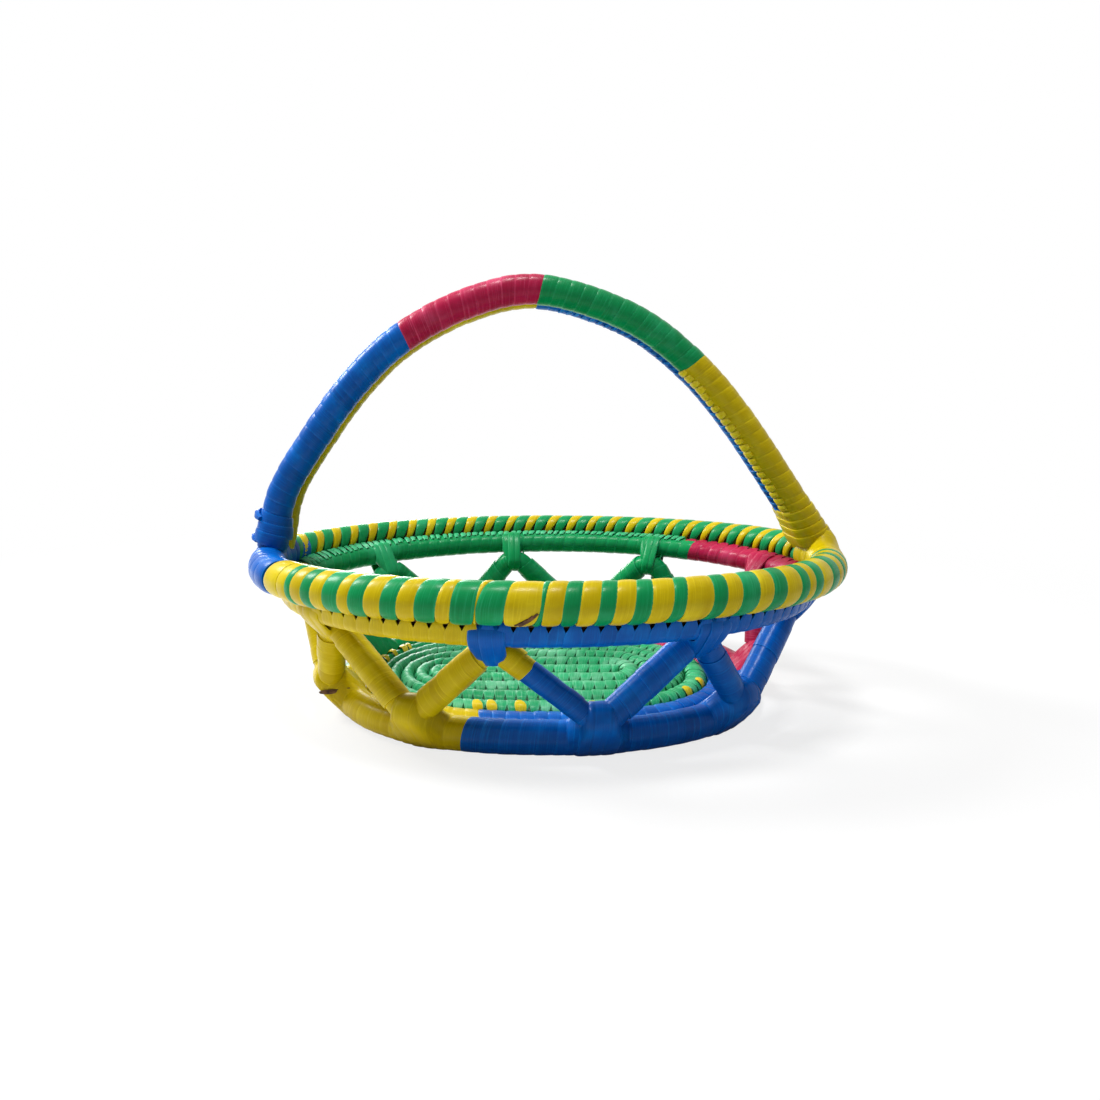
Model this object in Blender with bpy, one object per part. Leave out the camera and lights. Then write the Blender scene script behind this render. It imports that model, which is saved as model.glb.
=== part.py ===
"""Palm fruit basket: an oval bowl of wrapped and sewn coils, with an openwork wall and a fixed handle.

Metres, +Z up. The origin is on the table under the middle of the bowl, +X runs along the oval.
Every strand is a bundle of palm ribs inside a glossy wrap. A strand is laid along a centre line, and its
section is a regular polygon with the area of the round bundle, flat side down.
"""

from math import cos, pi, radians, sin, sqrt, tan

import bmesh
import bpy
import numpy as np

# Gap between pieces that touch
CLEARANCE = 0.0003

# Rim: a bundle wound with two strips side by side, and with one broad strip at each foot of the handle
RIM_HALF_LENGTH = 0.142
RIM_HALF_WIDTH = 0.103
RIM_HEIGHT = 0.072
RIM_RADIUS = 0.0095
RIM_STRIP_GAP = 0.0006
RIM_STRIP_THICKNESS = 0.0011
FRONT_WRAP_TURNS = 20
BACK_WRAP_TURNS = 24
RIGHT_FOOT_WRAP_TURNS = 2.75
LEFT_FOOT_WRAP_TURNS = 5.25
FRONT_WRAP_START = 4.05  # turns by the front from the left end

# Upper ring, rolled round the rim's underside: nearly beneath it in front, more inside it at the back
UPPER_RADIUS = 0.0058
ROLL_MEAN = radians(43)
ROLL_SWING = radians(19)

# Foot ring, in shares of the rim's size, and the ring inside it
FOOT_LENGTH_SHARE = 0.7296
FOOT_WIDTH_SHARE = 0.801
FOOT_RADIUS = 0.008
FOOT_FULLNESS = 2.19
BASE_RING_THICKNESS = 0.0128

# Bottom coil: its first run lies off centre, so its turns are thinner towards the left end
BASE_START_HALF_LENGTH = 0.045
BASE_START_SHIFT = 0.012
BASE_HEIGHT = 0.0131
BASE_TURN_GAP = 0.0009
BASE_LIFT = 0.0004
BASE_TURNS = 4
BASE_END_WIDTH = 0.003
BASE_ROUNDING = 1.5

# Openwork wall
ZIGZAG_RADIUS = 0.0055
ZIGZAG_BEND_SHARE = 1.3636  # of its radius
ZIGZAG_PERIODS = 9
PEAK_TILT = radians(52)
TROUGH_TILT = radians(50)

# Handle: two coils side by side, its curve in shares of the rim's half length and of the handle's height
HANDLE_RADIUS = 0.0075
HANDLE_HEIGHT = 0.1236
HANDLE_SET_BACK = 0.002
HANDLE_YAW = radians(2.5)
HANDLE_SHAPE_SHARES = (
    (-0.982, 0.0),
    (-0.937, 0.204),
    (-0.817, 0.422),
    (-0.676, 0.633),
    (-0.507, 0.811),
    (-0.275, 0.948),
    (-0.028, 1.0),
    (0.275, 0.9),
    (0.493, 0.73),
    (0.676, 0.503),
    (0.873, 0.188),
    (0.975, 0.0),
)

# Wraps and lashings
WRAP_THICKNESS = 0.0012
LASHING_WIDTH = 0.004
LASHING_THICKNESS = 0.001
LASHING_SLACK_SHARE = 0.3455  # of the wall strand's radius
LASHING_OPENING = radians(36)
TROUGH_LASHING_START = radians(-42)
TROUGH_LASHING_END = radians(128)
BINDING_TURNS = 3
BINDING_PITCH = 0.0045
BINDING_LIFT = 0.006
BINDING_GAP = 0.0005

# Counts
SIDES = 8
CORE_SIDES = 6
RIM_STEPS_PER_TURN = 6
RING_STEPS = 38
HANDLE_STEPS_PER_KNOT = 3
BINDING_STEPS = 8
RING_STRAP_STEPS = 3
BASE_ARC_STEPS = 9
BASE_RUN_STEPS = 3
PEAK_STEPS = 5
SADDLE_STEPS = 7
GAP_SAMPLES = 6

# Sizes that follow from others
FOOT_HALF_LENGTH = FOOT_LENGTH_SHARE * RIM_HALF_LENGTH
FOOT_HALF_WIDTH = FOOT_WIDTH_SHARE * RIM_HALF_WIDTH
ZIGZAG_BEND = ZIGZAG_BEND_SHARE * ZIGZAG_RADIUS
LASHING_SLACK = LASHING_SLACK_SHARE * ZIGZAG_RADIUS
BASE_ROOM = FOOT_HALF_WIDTH - FOOT_RADIUS - CLEARANCE
FOOT_EXCESS = FOOT_HALF_LENGTH - FOOT_HALF_WIDTH
# The coil's rows: half a row, its turns and the ring inside the foot ring
BASE_PITCH = BASE_ROOM / (0.5 + BASE_TURNS + 1)

# Step along a line, for its direction
DIFFERENCE_STEP = radians(0.05)
TABLE_STEPS = 1441
CROWDING_SHARE = 0.1
BEND_STATIONS = 5
CORNER_ROUNDS = 8

# Where the wrap changes colour, in degrees round the oval from the right end, by the back:
# red starts, green starts, yellow starts, blue starts
QUADRANT_COLOURS = ("red", "green", "yellow", "blue")
UPPER_RING_BREAKS = (0, 49, 180, 257)
ZIGZAG_BREAKS = (0, 50, 180, 260)
FOOT_RING_BREAKS = (-4, 50, 178, 249)
BASE_RING_BREAKS = (-4, 48, 176, 246)

# Lengths of wrap along each coil of the handle, from its left foot, in points of its shape
HANDLE_LENGTHS = {
    "front": (("blue", 0, 4), ("red", 4, 6), ("green", 6, 8), ("yellow", 8, 11)),
    "back": (("yellow", 0, 6), ("blue", 6, 11)),
}

COLOURS = {
    "green": (0.0, 0.30, 0.11),
    "yellow": (0.66, 0.50, 0.0),
    "blue": (0.0, 0.09, 0.45),
    "red": (0.55, 0.03, 0.12),
    "palm_rib": (0.12, 0.04, 0.01),
}


def clear_scene():
    for item in list(bpy.data.objects):
        bpy.data.objects.remove(item)


def material(colour):
    """One glossy dyed wrap, or the dull palm rib."""
    made = bpy.data.materials.new(colour)
    made.use_nodes = True
    shader = made.node_tree.nodes["Principled BSDF"]
    shader.inputs["Base Color"].default_value = (*COLOURS[colour], 1)
    shader.inputs["Roughness"].default_value = 0.8 if colour == "palm_rib" else 0.3
    made.diffuse_color = (*COLOURS[colour], 1)
    return made


def add_object(name, mesh_builder, colour):
    mesh = bpy.data.meshes.new(name)
    bmesh.ops.recalc_face_normals(mesh_builder, faces=mesh_builder.faces)
    mesh_builder.to_mesh(mesh)
    mesh_builder.free()
    mesh.materials.append(material(colour))
    mesh.shade_smooth()
    mesh.set_sharp_from_angle(angle=radians(60))
    made = bpy.data.objects.new(name, mesh)
    bpy.context.scene.collection.objects.link(made)
    return made


def unit(vectors):
    return vectors / np.linalg.norm(vectors, axis=-1, keepdims=True)


def corner_reach(sides):
    """How far a polygon's corners stand out, where its area is that of a unit circle."""
    turn = 2 * pi / sides
    return sqrt(turn / sin(turn))


def polygon(sides):
    """Corners of the unit section, flat side down: shares outwards and upwards."""
    angles = (np.arange(sides) + 0.5) * 2 * pi / sides - pi / 2
    return corner_reach(sides) * np.stack([np.cos(angles), np.sin(angles)], axis=1)


def laid(line, angles):
    """Points of a line at these angles, and the directions in which it runs there."""
    ahead = line(angles + DIFFERENCE_STEP)
    behind = line(angles - DIFFERENCE_STEP)
    return line(angles), unit(ahead - behind)


def section_rings(path, along, up, radius, sides, level=None):
    """Rings of corners along a path. Each stands square to it, with its flat side away from up.

    An end that stands at a given level is cut level there.
    """
    outward = unit(np.cross(along, up))
    upward = np.cross(outward, along)
    across, rise = polygon(sides).T * radius
    rings = (
        path[:, None, :]
        + across[None, :, None] * outward[:, None, :]
        + rise[None, :, None] * upward[:, None, :]
    )
    for end in (0, -1):
        if level is not None and np.isclose(path[end, 2], level):
            rings[end] += (level - rings[end, :, 2:]) / along[end, 2] * along[end]
    return rings


def add_skin(builder, rings, closed):
    """Faces between neighbouring rings. Returns the corners of the first and the last ring."""
    corners = [[builder.verts.new(point) for point in ring] for ring in rings]
    count = len(corners)
    sides = len(corners[0])
    for i in range(count if closed else count - 1):
        here, there = corners[i], corners[(i + 1) % count]
        for j in range(sides):
            k = (j + 1) % sides
            builder.faces.new((here[j], there[j], there[k], here[k]))
    return corners[0], corners[-1]


def close_end(builder, wall, hole):
    """Triangles between the corners of a sleeve's outside and of its bore, in the order of their angles.

    A polygon's corner number i stands at (i + 1/2) sides round, and the next one at a side more.
    """
    i = 0
    j = 0
    while i < SIDES or j < CORE_SIDES:
        outer, inner = wall[i % SIDES], hole[j % CORE_SIDES]
        if (i + 3 / 2) * CORE_SIDES < (j + 3 / 2) * SIDES:
            i += 1
            builder.faces.new((outer, wall[i % SIDES], inner))
        else:
            j += 1
            builder.faces.new((outer, hole[j % CORE_SIDES], inner))


def solid_strand(name, colour, rings, closed=False):
    builder = bmesh.new()
    first, last = add_skin(builder, rings, closed)
    if not closed:
        builder.faces.new(first)
        builder.faces.new(last)
    return add_object(name, builder, colour)


def rings_at(places, stations, rings):
    """Rings on the straight lines between the stations' rings, so that a sleeve follows its core."""
    columns = [np.interp(places, stations, column) for column in rings.reshape(len(rings), -1).T]
    return np.stack(columns, axis=1).reshape(len(places), *rings.shape[1:])


def sleeve(name, colour, wall_rings, hole_rings):
    """A length of wrap: a tube, open at both ends, that its core passes through."""
    builder = bmesh.new()
    wall = add_skin(builder, wall_rings, False)
    hole = add_skin(builder, hole_rings, False)
    for wall_end, hole_end in zip(wall, hole):
        close_end(builder, wall_end, hole_end)
    return add_object(name, builder, colour)


def wrapped_core_radius(radius):
    """Of the bundle inside a sleeve of this outer radius, and of the sleeve's bore."""
    bore = (radius * cos(pi / SIDES) - WRAP_THICKNESS) / corner_reach(CORE_SIDES)
    return bore - CLEARANCE / cos(pi / CORE_SIDES), bore


def oval(angle, half_length, half_width, fullness=2.0):
    """Points of an oval, and its level outward normals. A fullness of 2 is an ellipse."""
    c, s = np.cos(angle), np.sin(angle)
    power = 2 / fullness
    x = half_length * np.sign(c) * np.abs(c) ** power
    y = half_width * np.sign(s) * np.abs(s) ** power
    steep = power * (fullness - 1)
    normal_x = np.sign(c) * np.abs(c) ** steep / half_length
    normal_y = np.sign(s) * np.abs(s) ** steep / half_width
    level = np.zeros_like(x)
    return (
        np.stack([x, y, level], axis=-1),
        unit(np.stack([normal_x, normal_y, level], axis=-1)),
    )


UP = np.array([0.0, 0.0, 1.0])


def rim_line(angle):
    points, outward = oval(angle, RIM_HALF_LENGTH, RIM_HALF_WIDTH)
    return points + RIM_HEIGHT * UP, outward


def upper_ring_line(angle):
    """The ring touches the rim all round, at the roll angle below the level."""
    points, outward = rim_line(angle)
    roll = (ROLL_MEAN - ROLL_SWING * np.sin(angle))[..., None]
    reach = RIM_RADIUS + UPPER_RADIUS * corner_reach(SIDES) + CLEARANCE
    return points - reach * (np.cos(roll) * outward + np.sin(roll) * UP)


FOOT_REACH = FOOT_RADIUS * corner_reach(SIDES)


def foot_line(angle):
    points, outward = oval(angle, FOOT_HALF_LENGTH, FOOT_HALF_WIDTH, FOOT_FULLNESS)
    return points + FOOT_REACH * cos(pi / SIDES) * UP, outward


def foot_path(angle):
    return foot_line(angle)[0]


def peak_line(angle):
    """Where the zigzag's centre would run if it were all peak: inside and below the upper ring."""
    outward = rim_line(angle)[1]
    reach = (UPPER_RADIUS + ZIGZAG_RADIUS) * corner_reach(SIDES) + CLEARANCE
    return upper_ring_line(angle) - reach * (cos(PEAK_TILT) * outward + sin(PEAK_TILT) * UP)


def trough_line(angle):
    """Where it would run if it were all trough: outside and above the foot ring."""
    points, outward = foot_line(angle)
    reach = FOOT_REACH + ZIGZAG_RADIUS * corner_reach(SIDES) + CLEARANCE
    return points + reach * (cos(TROUGH_TILT) * outward + sin(TROUGH_TILT) * UP)


def arc_table(line, start, end):
    """Angles along a line, and how far along it each lies."""
    angles = np.linspace(start, end, TABLE_STEPS)
    steps = np.linalg.norm(np.diff(line(angles), axis=0), axis=1)
    return angles, np.concatenate([[0], np.cumsum(steps)])


def zigzag_angle(phase):
    """The angle round the oval at this phase. The bends are evenly spaced from a peak at the left end."""
    return pi + phase / ZIGZAG_PERIODS


def bend_shape(corners):
    """At each corner, the direction into the bend and half the angle between its two legs."""
    before = unit(np.roll(corners, 1, axis=0) - corners)
    after = unit(np.roll(corners, -1, axis=0) - corners)
    inward = unit(before + after)
    return inward, np.arccos((after * inward).sum(axis=1))


def zigzag_corners():
    """Where the straight legs would meet, beyond each round bend."""
    number = np.arange(2 * ZIGZAG_PERIODS)
    angle = zigzag_angle(number * pi)
    tips = np.where((number % 2 == 0)[:, None], peak_line(angle), trough_line(angle))
    corners = tips
    for _ in range(CORNER_ROUNDS):
        inward, half = bend_shape(corners)
        beyond = ZIGZAG_BEND * (1 / np.sin(half) - 1)
        corners = tips - beyond[:, None] * inward
    return corners


ZIGZAG_CORNERS = zigzag_corners()
BEND_INWARD, BEND_HALF = bend_shape(ZIGZAG_CORNERS)


def nearest_bend(phase):
    """The number of the nearest bend, the direction of the leg on this side, and the run from the tip."""
    count = len(ZIGZAG_CORNERS)
    number = np.round(phase / pi).astype(int)
    offset = phase - number * pi
    other = number + np.where(offset < 0, -1, 1)
    leg = ZIGZAG_CORNERS[other % count] - ZIGZAG_CORNERS[number % count]
    length = np.linalg.norm(leg, axis=1)
    half = BEND_HALF[number % count]
    to_middle = ZIGZAG_BEND * (pi / 2 - half - 1 / np.tan(half)) + length / 2
    return number, leg / length[:, None], np.abs(offset) * 2 / pi * to_middle


def zigzag_line(phase):
    """Straight legs joined by round bends. The phase runs evenly from each tip to the leg's middle."""
    bend = ZIGZAG_BEND
    number, leg, run = nearest_bend(phase)
    number = number % len(ZIGZAG_CORNERS)
    inward = BEND_INWARD[number]
    half = BEND_HALF[number]
    sideways = unit(leg - (leg * inward).sum(axis=1)[:, None] * inward)
    arc = bend * (pi / 2 - half)
    turn = np.minimum(run, arc) / bend
    centre = ZIGZAG_CORNERS[number] + (bend / np.sin(half))[:, None] * inward
    on_arc = centre + bend * (np.sin(turn)[:, None] * sideways - np.cos(turn)[:, None] * inward)
    return on_arc + np.maximum(run - arc, 0)[:, None] * leg


def wall_outward(phase):
    """The wall's outward direction, constant along each leg, so that a leg isn't twisted."""
    number, _, run = nearest_bend(phase)
    arc = ZIGZAG_BEND * (pi / 2 - BEND_HALF[number % len(ZIGZAG_CORNERS)])
    share = np.sign(phase - number * pi) * np.minimum(run / arc, 1)
    return rim_line(zigzag_angle((number + share / 2) * pi))[1]


def zigzag_stations():
    """Phases at which a section stands: some in each bend, none along a leg."""
    count = len(ZIGZAG_CORNERS)
    lengths = np.linalg.norm(np.roll(ZIGZAG_CORNERS, -1, axis=0) - ZIGZAG_CORNERS, axis=1)
    stations = []
    for number in range(count):
        arc = ZIGZAG_BEND * (pi / 2 - BEND_HALF[number])
        straight = -ZIGZAG_BEND / np.tan(BEND_HALF[number])
        back = pi / 2 * arc / (arc + straight + lengths[number - 1] / 2)
        ahead = pi / 2 * arc / (arc + straight + lengths[number] / 2)
        for share in np.linspace(-1, 1, BEND_STATIONS):
            stations.append(number * pi + share * (back if share < 0 else ahead))
    return np.array(stations)


def between(stations, around, start, end):
    """The stations from start to end, both ends included and none crowding them."""
    every = np.concatenate([stations - around, stations, stations + around])
    room = CROWDING_SHARE * around / len(stations)
    inner = every[(every > start + room) & (every < end - room)]
    return np.concatenate([[start], inner, [end]])


def trimmed(line, start, end):
    """The two ends, each moved in by half the gap where two lengths of wrap meet."""
    moved = []
    for place, towards in ((start, 1), (end, -1)):
        pair = line(np.array([place, place + towards * DIFFERENCE_STEP]))
        length = np.linalg.norm(pair[1] - pair[0])
        moved.append(place + towards * DIFFERENCE_STEP * CLEARANCE / length)
    return moved


def quadrant_sleeves(prefix, line, stations, around, up, radius, breaks):
    """One core all the way round, and a sleeve in each colour."""
    core, bore = wrapped_core_radius(radius)
    path, along = laid(line, stations)
    rings = section_rings(path, along, up(stations), core, CORE_SIDES)
    solid_strand(prefix + "_core", "palm_rib", rings, closed=True)
    every = np.concatenate([stations - around, stations, stations + around])
    wall = np.tile(section_rings(path, along, up(stations), radius, SIDES), (3, 1, 1))
    hole = np.tile(section_rings(path, along, up(stations), bore, CORE_SIDES), (3, 1, 1))
    ends = breaks[1:] + (breaks[0] + around,)
    for colour, start, end in zip(QUADRANT_COLOURS, breaks, ends):
        places = between(stations, around, *trimmed(line, start, end))
        name = f"{prefix}_{colour}"
        sleeve(name, colour, rings_at(places, every, wall), rings_at(places, every, hole))


def make_rings():
    stations = np.arange(RING_STEPS) * 2 * pi / RING_STEPS
    for prefix, line, radius, breaks in (
        ("upper_ring", upper_ring_line, UPPER_RADIUS, UPPER_RING_BREAKS),
        ("foot_ring", foot_path, FOOT_RADIUS, FOOT_RING_BREAKS),
    ):
        breaks = tuple(np.radians(breaks))
        quadrant_sleeves(prefix, line, stations, 2 * pi, lambda angle: UP, radius, breaks)


def make_zigzag():
    breaks = tuple((np.radians(ZIGZAG_BREAKS) - pi) * ZIGZAG_PERIODS)
    around = 2 * pi * ZIGZAG_PERIODS
    stations = zigzag_stations()
    quadrant_sleeves("zigzag", zigzag_line, stations, around, wall_outward, ZIGZAG_RADIUS, breaks)


def base_place(x, y):
    """The real place of a point of the plan, where a run's distance from the first run is even all round.

    The plan is a long oval round the first run. Its distance from that run sets the real oval's half
    length, its shift to the left, and how far it has turned from a long oval into the foot ring's.
    """
    beyond = np.maximum(np.abs(x) - BASE_START_HALF_LENGTH, 0)
    distance = np.hypot(beyond, y)
    share = distance / BASE_ROOM
    along = x / (BASE_START_HALF_LENGTH + distance)
    half_length = BASE_START_HALF_LENGTH * (1 - share) + (BASE_ROOM + FOOT_EXCESS) * share
    full = distance * np.maximum(1 - np.abs(along) ** FOOT_FULLNESS, 0) ** (1 / FOOT_FULLNESS)
    rounded = share**BASE_ROUNDING
    real_x = half_length * along - BASE_START_SHIFT * (1 - share)
    real_y = np.sign(y) * ((1 - rounded) * np.abs(y) + rounded * full)
    return real_x, real_y


def base_rings_of(path, across, half_width, height):
    """Sections of a run of the bottom, an upright oval on a path in the plan."""
    wide, rise = polygon(SIDES).T
    corners = path[:, None, :] + (half_width[:, None] * wide[None, :])[..., None] * across[:, None, :]
    real_x, real_y = base_place(corners[..., 0], corners[..., 1])
    top = rise.max()
    real_z = np.broadcast_to(BASE_LIFT + height * (1 + rise / top) / 2, real_x.shape)
    return np.stack([real_x, real_y, real_z], axis=-1)


def arc(centre_x, centre_y, radius, start, end):
    """Places and outward directions along part of a circle in the plan."""
    angles = np.linspace(start, end, BASE_ARC_STEPS + 1)
    outward = np.stack([np.cos(angles), np.sin(angles)], axis=1)
    return np.array([centre_x, centre_y]) + radius * outward, outward


def run_between(path, across, towards):
    """The straight run from the last place of a path to this one, without its two ends."""
    shares = np.arange(1, BASE_RUN_STEPS)[:, None] / BASE_RUN_STEPS
    places = path[-1] * (1 - shares) + towards * shares
    return places, np.repeat(across[-1:], BASE_RUN_STEPS - 1, axis=0)


def coil_plan():
    """The coil in the plan: half circles about the first run's right end, and others half a pitch off its
    left end, so that each left turn steps out by one pitch. The last one is squeezed to a thin end."""
    half = BASE_START_HALF_LENGTH
    pitch = BASE_PITCH
    width = (pitch - BASE_TURN_GAP) / 2 / (corner_reach(SIDES) * cos(pi / SIDES))
    path = np.array([[half, 0.0]])
    across = np.array([[0.0, 1.0]])
    widths = [np.array([width])]
    for turn in range(BASE_TURNS):
        left = arc(-half, -pitch / 2, (turn + 0.5) * pitch, pi / 2, 3 * pi / 2)
        right = arc(half, 0, (turn + 1) * pitch, -pi / 2, pi / 2)
        for piece in (left, right):
            straight = run_between(path, across, piece[0][0])
            path = np.concatenate([path, straight[0], piece[0]])
            across = np.concatenate([across, straight[1], piece[1]])
            widths.append(np.full(len(straight[0]) + len(piece[0]), width))
    inside = BASE_TURNS * pitch
    last, outward = arc(-half, -pitch / 2, inside, pi / 2, 3 * pi / 2)
    rise, run = outward[:, 1] * pitch / 2, outward[:, 0] * pitch / 2
    room = rise + np.sqrt(((BASE_TURNS + 0.5) * pitch) ** 2 - run**2) - inside
    kept = room > BASE_END_WIDTH + BASE_TURN_GAP
    last = (last + room[:, None] / 2 * outward)[kept]
    straight = run_between(path, across, last[0])
    widths.append(np.full(len(straight[0]), width))
    widths.append((room[kept] - BASE_TURN_GAP) / (pitch - BASE_TURN_GAP) * width)
    return (
        np.concatenate([path, straight[0], last]),
        np.concatenate([across, straight[1], outward[kept]]),
        np.concatenate(widths),
    )


def least_gap(rings, half_loop, room):
    """The least distance between a strand's skin and another stretch of it, at least half a loop away.

    Half a loop is given in rings, and only what lies within the room round a ring is measured.
    """
    shares = np.arange(GAP_SAMPLES) / GAP_SAMPLES
    ahead = shares[None, :, None, None]
    along = rings[:-1, None] * (1 - ahead) + rings[1:, None] * ahead
    along = along.reshape(-1, *rings.shape[1:])
    following = np.roll(along, -1, axis=1)
    skin = along[:, :, None] * (1 - shares[:, None]) + following[:, :, None] * shares[:, None]
    skin = skin.reshape(len(along), -1, 3)
    apart = half_loop * GAP_SAMPLES
    least = []
    for number in range(len(skin) - apart):
        others = skin[number + apart:].reshape(-1, 3)
        near = others[np.linalg.norm(others - along[number].mean(axis=0), axis=1) < room]
        if len(near):
            least.append(np.linalg.norm(skin[number][:, None] - near[None], axis=2).min())
    return min(least)


def make_base():
    rings = base_rings_of(*coil_plan(), BASE_HEIGHT)
    solid_strand("base_coil", "green", rings)
    gap = least_gap(rings, BASE_ARC_STEPS + BASE_RUN_STEPS, 2 * BASE_HEIGHT)
    print(f"least gap of the bottom coil to itself: {gap * 1000:.2f} mm")
    inner = (BASE_TURNS + 0.5) * BASE_PITCH + BASE_TURN_GAP / 2
    middle = (inner + BASE_ROOM) / 2
    half_width = (BASE_ROOM - inner) / 2 / (corner_reach(SIDES) * cos(pi / SIDES))

    def ring_sections(angles):
        along = np.cos(angles)
        x = along * (BASE_START_HALF_LENGTH + middle)
        beyond = np.maximum(np.abs(x) - BASE_START_HALF_LENGTH, 0)
        y = np.sign(np.sin(angles)) * np.sqrt(middle**2 - beyond**2)
        across = unit(np.stack([np.sign(x) * beyond, y], axis=1))
        widths = np.full(len(angles), half_width)
        return base_rings_of(np.stack([x, y], axis=1), across, widths, BASE_RING_THICKNESS)

    stations = np.arange(RING_STEPS) * 2 * pi / RING_STEPS
    breaks = tuple(np.radians(BASE_RING_BREAKS))
    ends = breaks[1:] + (breaks[0] + 2 * pi,)
    for colour, start, end in zip(QUADRANT_COLOURS, breaks, ends):
        gap = CLEARANCE / FOOT_HALF_WIDTH
        places = between(stations, 2 * pi, start + gap, end - gap)
        solid_strand("base_ring_" + colour, colour, ring_sections(places))


RIM_TURNS = FRONT_WRAP_TURNS + RIGHT_FOOT_WRAP_TURNS + BACK_WRAP_TURNS + LEFT_FOOT_WRAP_TURNS
RIM_ANGLES, RIM_LENGTHS = arc_table(lambda angle: rim_line(angle)[0], pi, 3 * pi)
RIM_PITCH = RIM_LENGTHS[-1] / RIM_TURNS


def rim_strip(name, colour, first_turn, last_turn, offset, width):
    """A strip wound round the rim, one pitch a turn, its turns counted from the left end by the front."""
    steps = int(round((last_turn - first_turn) * RIM_STEPS_PER_TURN))
    gap = CLEARANCE / (2 * pi * RIM_RADIUS)
    turns = np.linspace(first_turn + gap, last_turn - gap, steps + 1)
    inner = RIM_RADIUS - RIM_STRIP_THICKNESS
    roll = 2 * pi * turns
    corners = []
    for side, radius in ((0, inner), (1, inner), (1, RIM_RADIUS), (0, RIM_RADIUS)):
        length = (turns * RIM_PITCH + offset + side * width) % RIM_LENGTHS[-1]
        points, outward = rim_line(np.interp(length, RIM_LENGTHS, RIM_ANGLES))
        towards = np.cos(roll)[:, None] * outward + np.sin(roll)[:, None] * UP
        corners.append(points + radius * towards)
    rings = np.stack(corners, axis=1)
    solid_strand(name, colour, rings)
    gap = least_gap(rings, RIM_STEPS_PER_TURN // 2, 2 * RIM_PITCH)
    print(f"least gap of {name} to itself: {gap * 1000:.2f} mm")


def make_rim():
    """The bundle, and the strips: two side by side in front and behind, a broad one at each foot."""
    sag = RIM_HALF_LENGTH * (pi / RING_STEPS) ** 2 / 2
    room = (RIM_RADIUS - RIM_STRIP_THICKNESS) * cos(pi / RIM_STEPS_PER_TURN) - CLEARANCE - sag
    stations = np.arange(RING_STEPS) * 2 * pi / RING_STEPS
    path, along = laid(lambda angle: rim_line(angle)[0], stations)
    core = room / corner_reach(SIDES)
    solid_strand("rim_core", "palm_rib", section_rings(path, along, UP, core, SIDES), closed=True)
    pair = RIM_PITCH / 2
    strip = pair - RIM_STRIP_GAP
    front = FRONT_WRAP_START
    right = front + FRONT_WRAP_TURNS
    back = right + RIGHT_FOOT_WRAP_TURNS
    left = back + BACK_WRAP_TURNS
    for side, start, end in (("front", front, right), ("back", back, left)):
        rim_strip(f"rim_wrap_green_{side}", "green", start, end, 0, strip)
        rim_strip(f"rim_wrap_yellow_{side}", "yellow", start, end, pair, strip)
    broad = RIM_PITCH - RIM_STRIP_GAP
    rim_strip("rim_wrap_yellow_right", "yellow", right, back, 0, broad)
    rim_strip("rim_wrap_blue_left", "blue", left, left + LEFT_FOOT_WRAP_TURNS, 0, broad)


def handle_middle(place):
    """A smooth curve through the handle's shape points, one to a whole number, between the two coils."""
    knots = np.array(HANDLE_SHAPE_SHARES)
    knots = np.concatenate([2 * knots[:1] - knots[1:2], knots, 2 * knots[-1:] - knots[-2:-1]])
    number = np.clip(np.floor(place).astype(int), 0, len(HANDLE_SHAPE_SHARES) - 2)
    t = (place - number)[:, None]
    before, here, there, after = (knots[number + k] for k in range(4))
    shares = (
        2 * here
        + (there - before) * t
        + (2 * before - 5 * here + 4 * there - after) * t**2
        + (3 * here - before - 3 * there + after) * t**3
    ) / 2
    x = shares[:, 0] * RIM_HALF_LENGTH
    z = HANDLE_FOOT + shares[:, 1] * HANDLE_HEIGHT
    return np.stack([x, HANDLE_SET_BACK + x * tan(HANDLE_YAW), z], axis=1)


HANDLE_FOOT = RIM_HEIGHT + RIM_RADIUS + CLEARANCE
HANDLE_BACKWARD = np.array([-sin(HANDLE_YAW), cos(HANDLE_YAW), 0.0])
HANDLE_OFFSET = HANDLE_RADIUS * corner_reach(SIDES) * cos(pi / SIDES) + CLEARANCE / 2


def make_handle():
    knots = len(HANDLE_SHAPE_SHARES) - 1
    stations = np.arange(knots * HANDLE_STEPS_PER_KNOT + 1) / HANDLE_STEPS_PER_KNOT
    core, bore = wrapped_core_radius(HANDLE_RADIUS)
    for side, towards in (("front", -1), ("back", 1)):

        def line(place):
            return handle_middle(place) + towards * HANDLE_OFFSET * HANDLE_BACKWARD

        path, along = laid(line, stations)
        rings, wall, hole = (
            section_rings(path, along, HANDLE_BACKWARD, size, sides, HANDLE_FOOT)
            for size, sides in ((core, CORE_SIDES), (HANDLE_RADIUS, SIDES), (bore, CORE_SIDES))
        )
        solid_strand(f"handle_core_{side}", "palm_rib", rings)
        for colour, start, end in HANDLE_LENGTHS[side]:
            inner_start, inner_end = trimmed(line, start, end)
            start = inner_start if start else start
            end = inner_end if end < knots else end
            places = between(stations, knots + 1, start, end)
            name = f"handle_{side}_{colour}"
            sleeve(name, colour, rings_at(places, stations, wall), rings_at(places, stations, hole))


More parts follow.
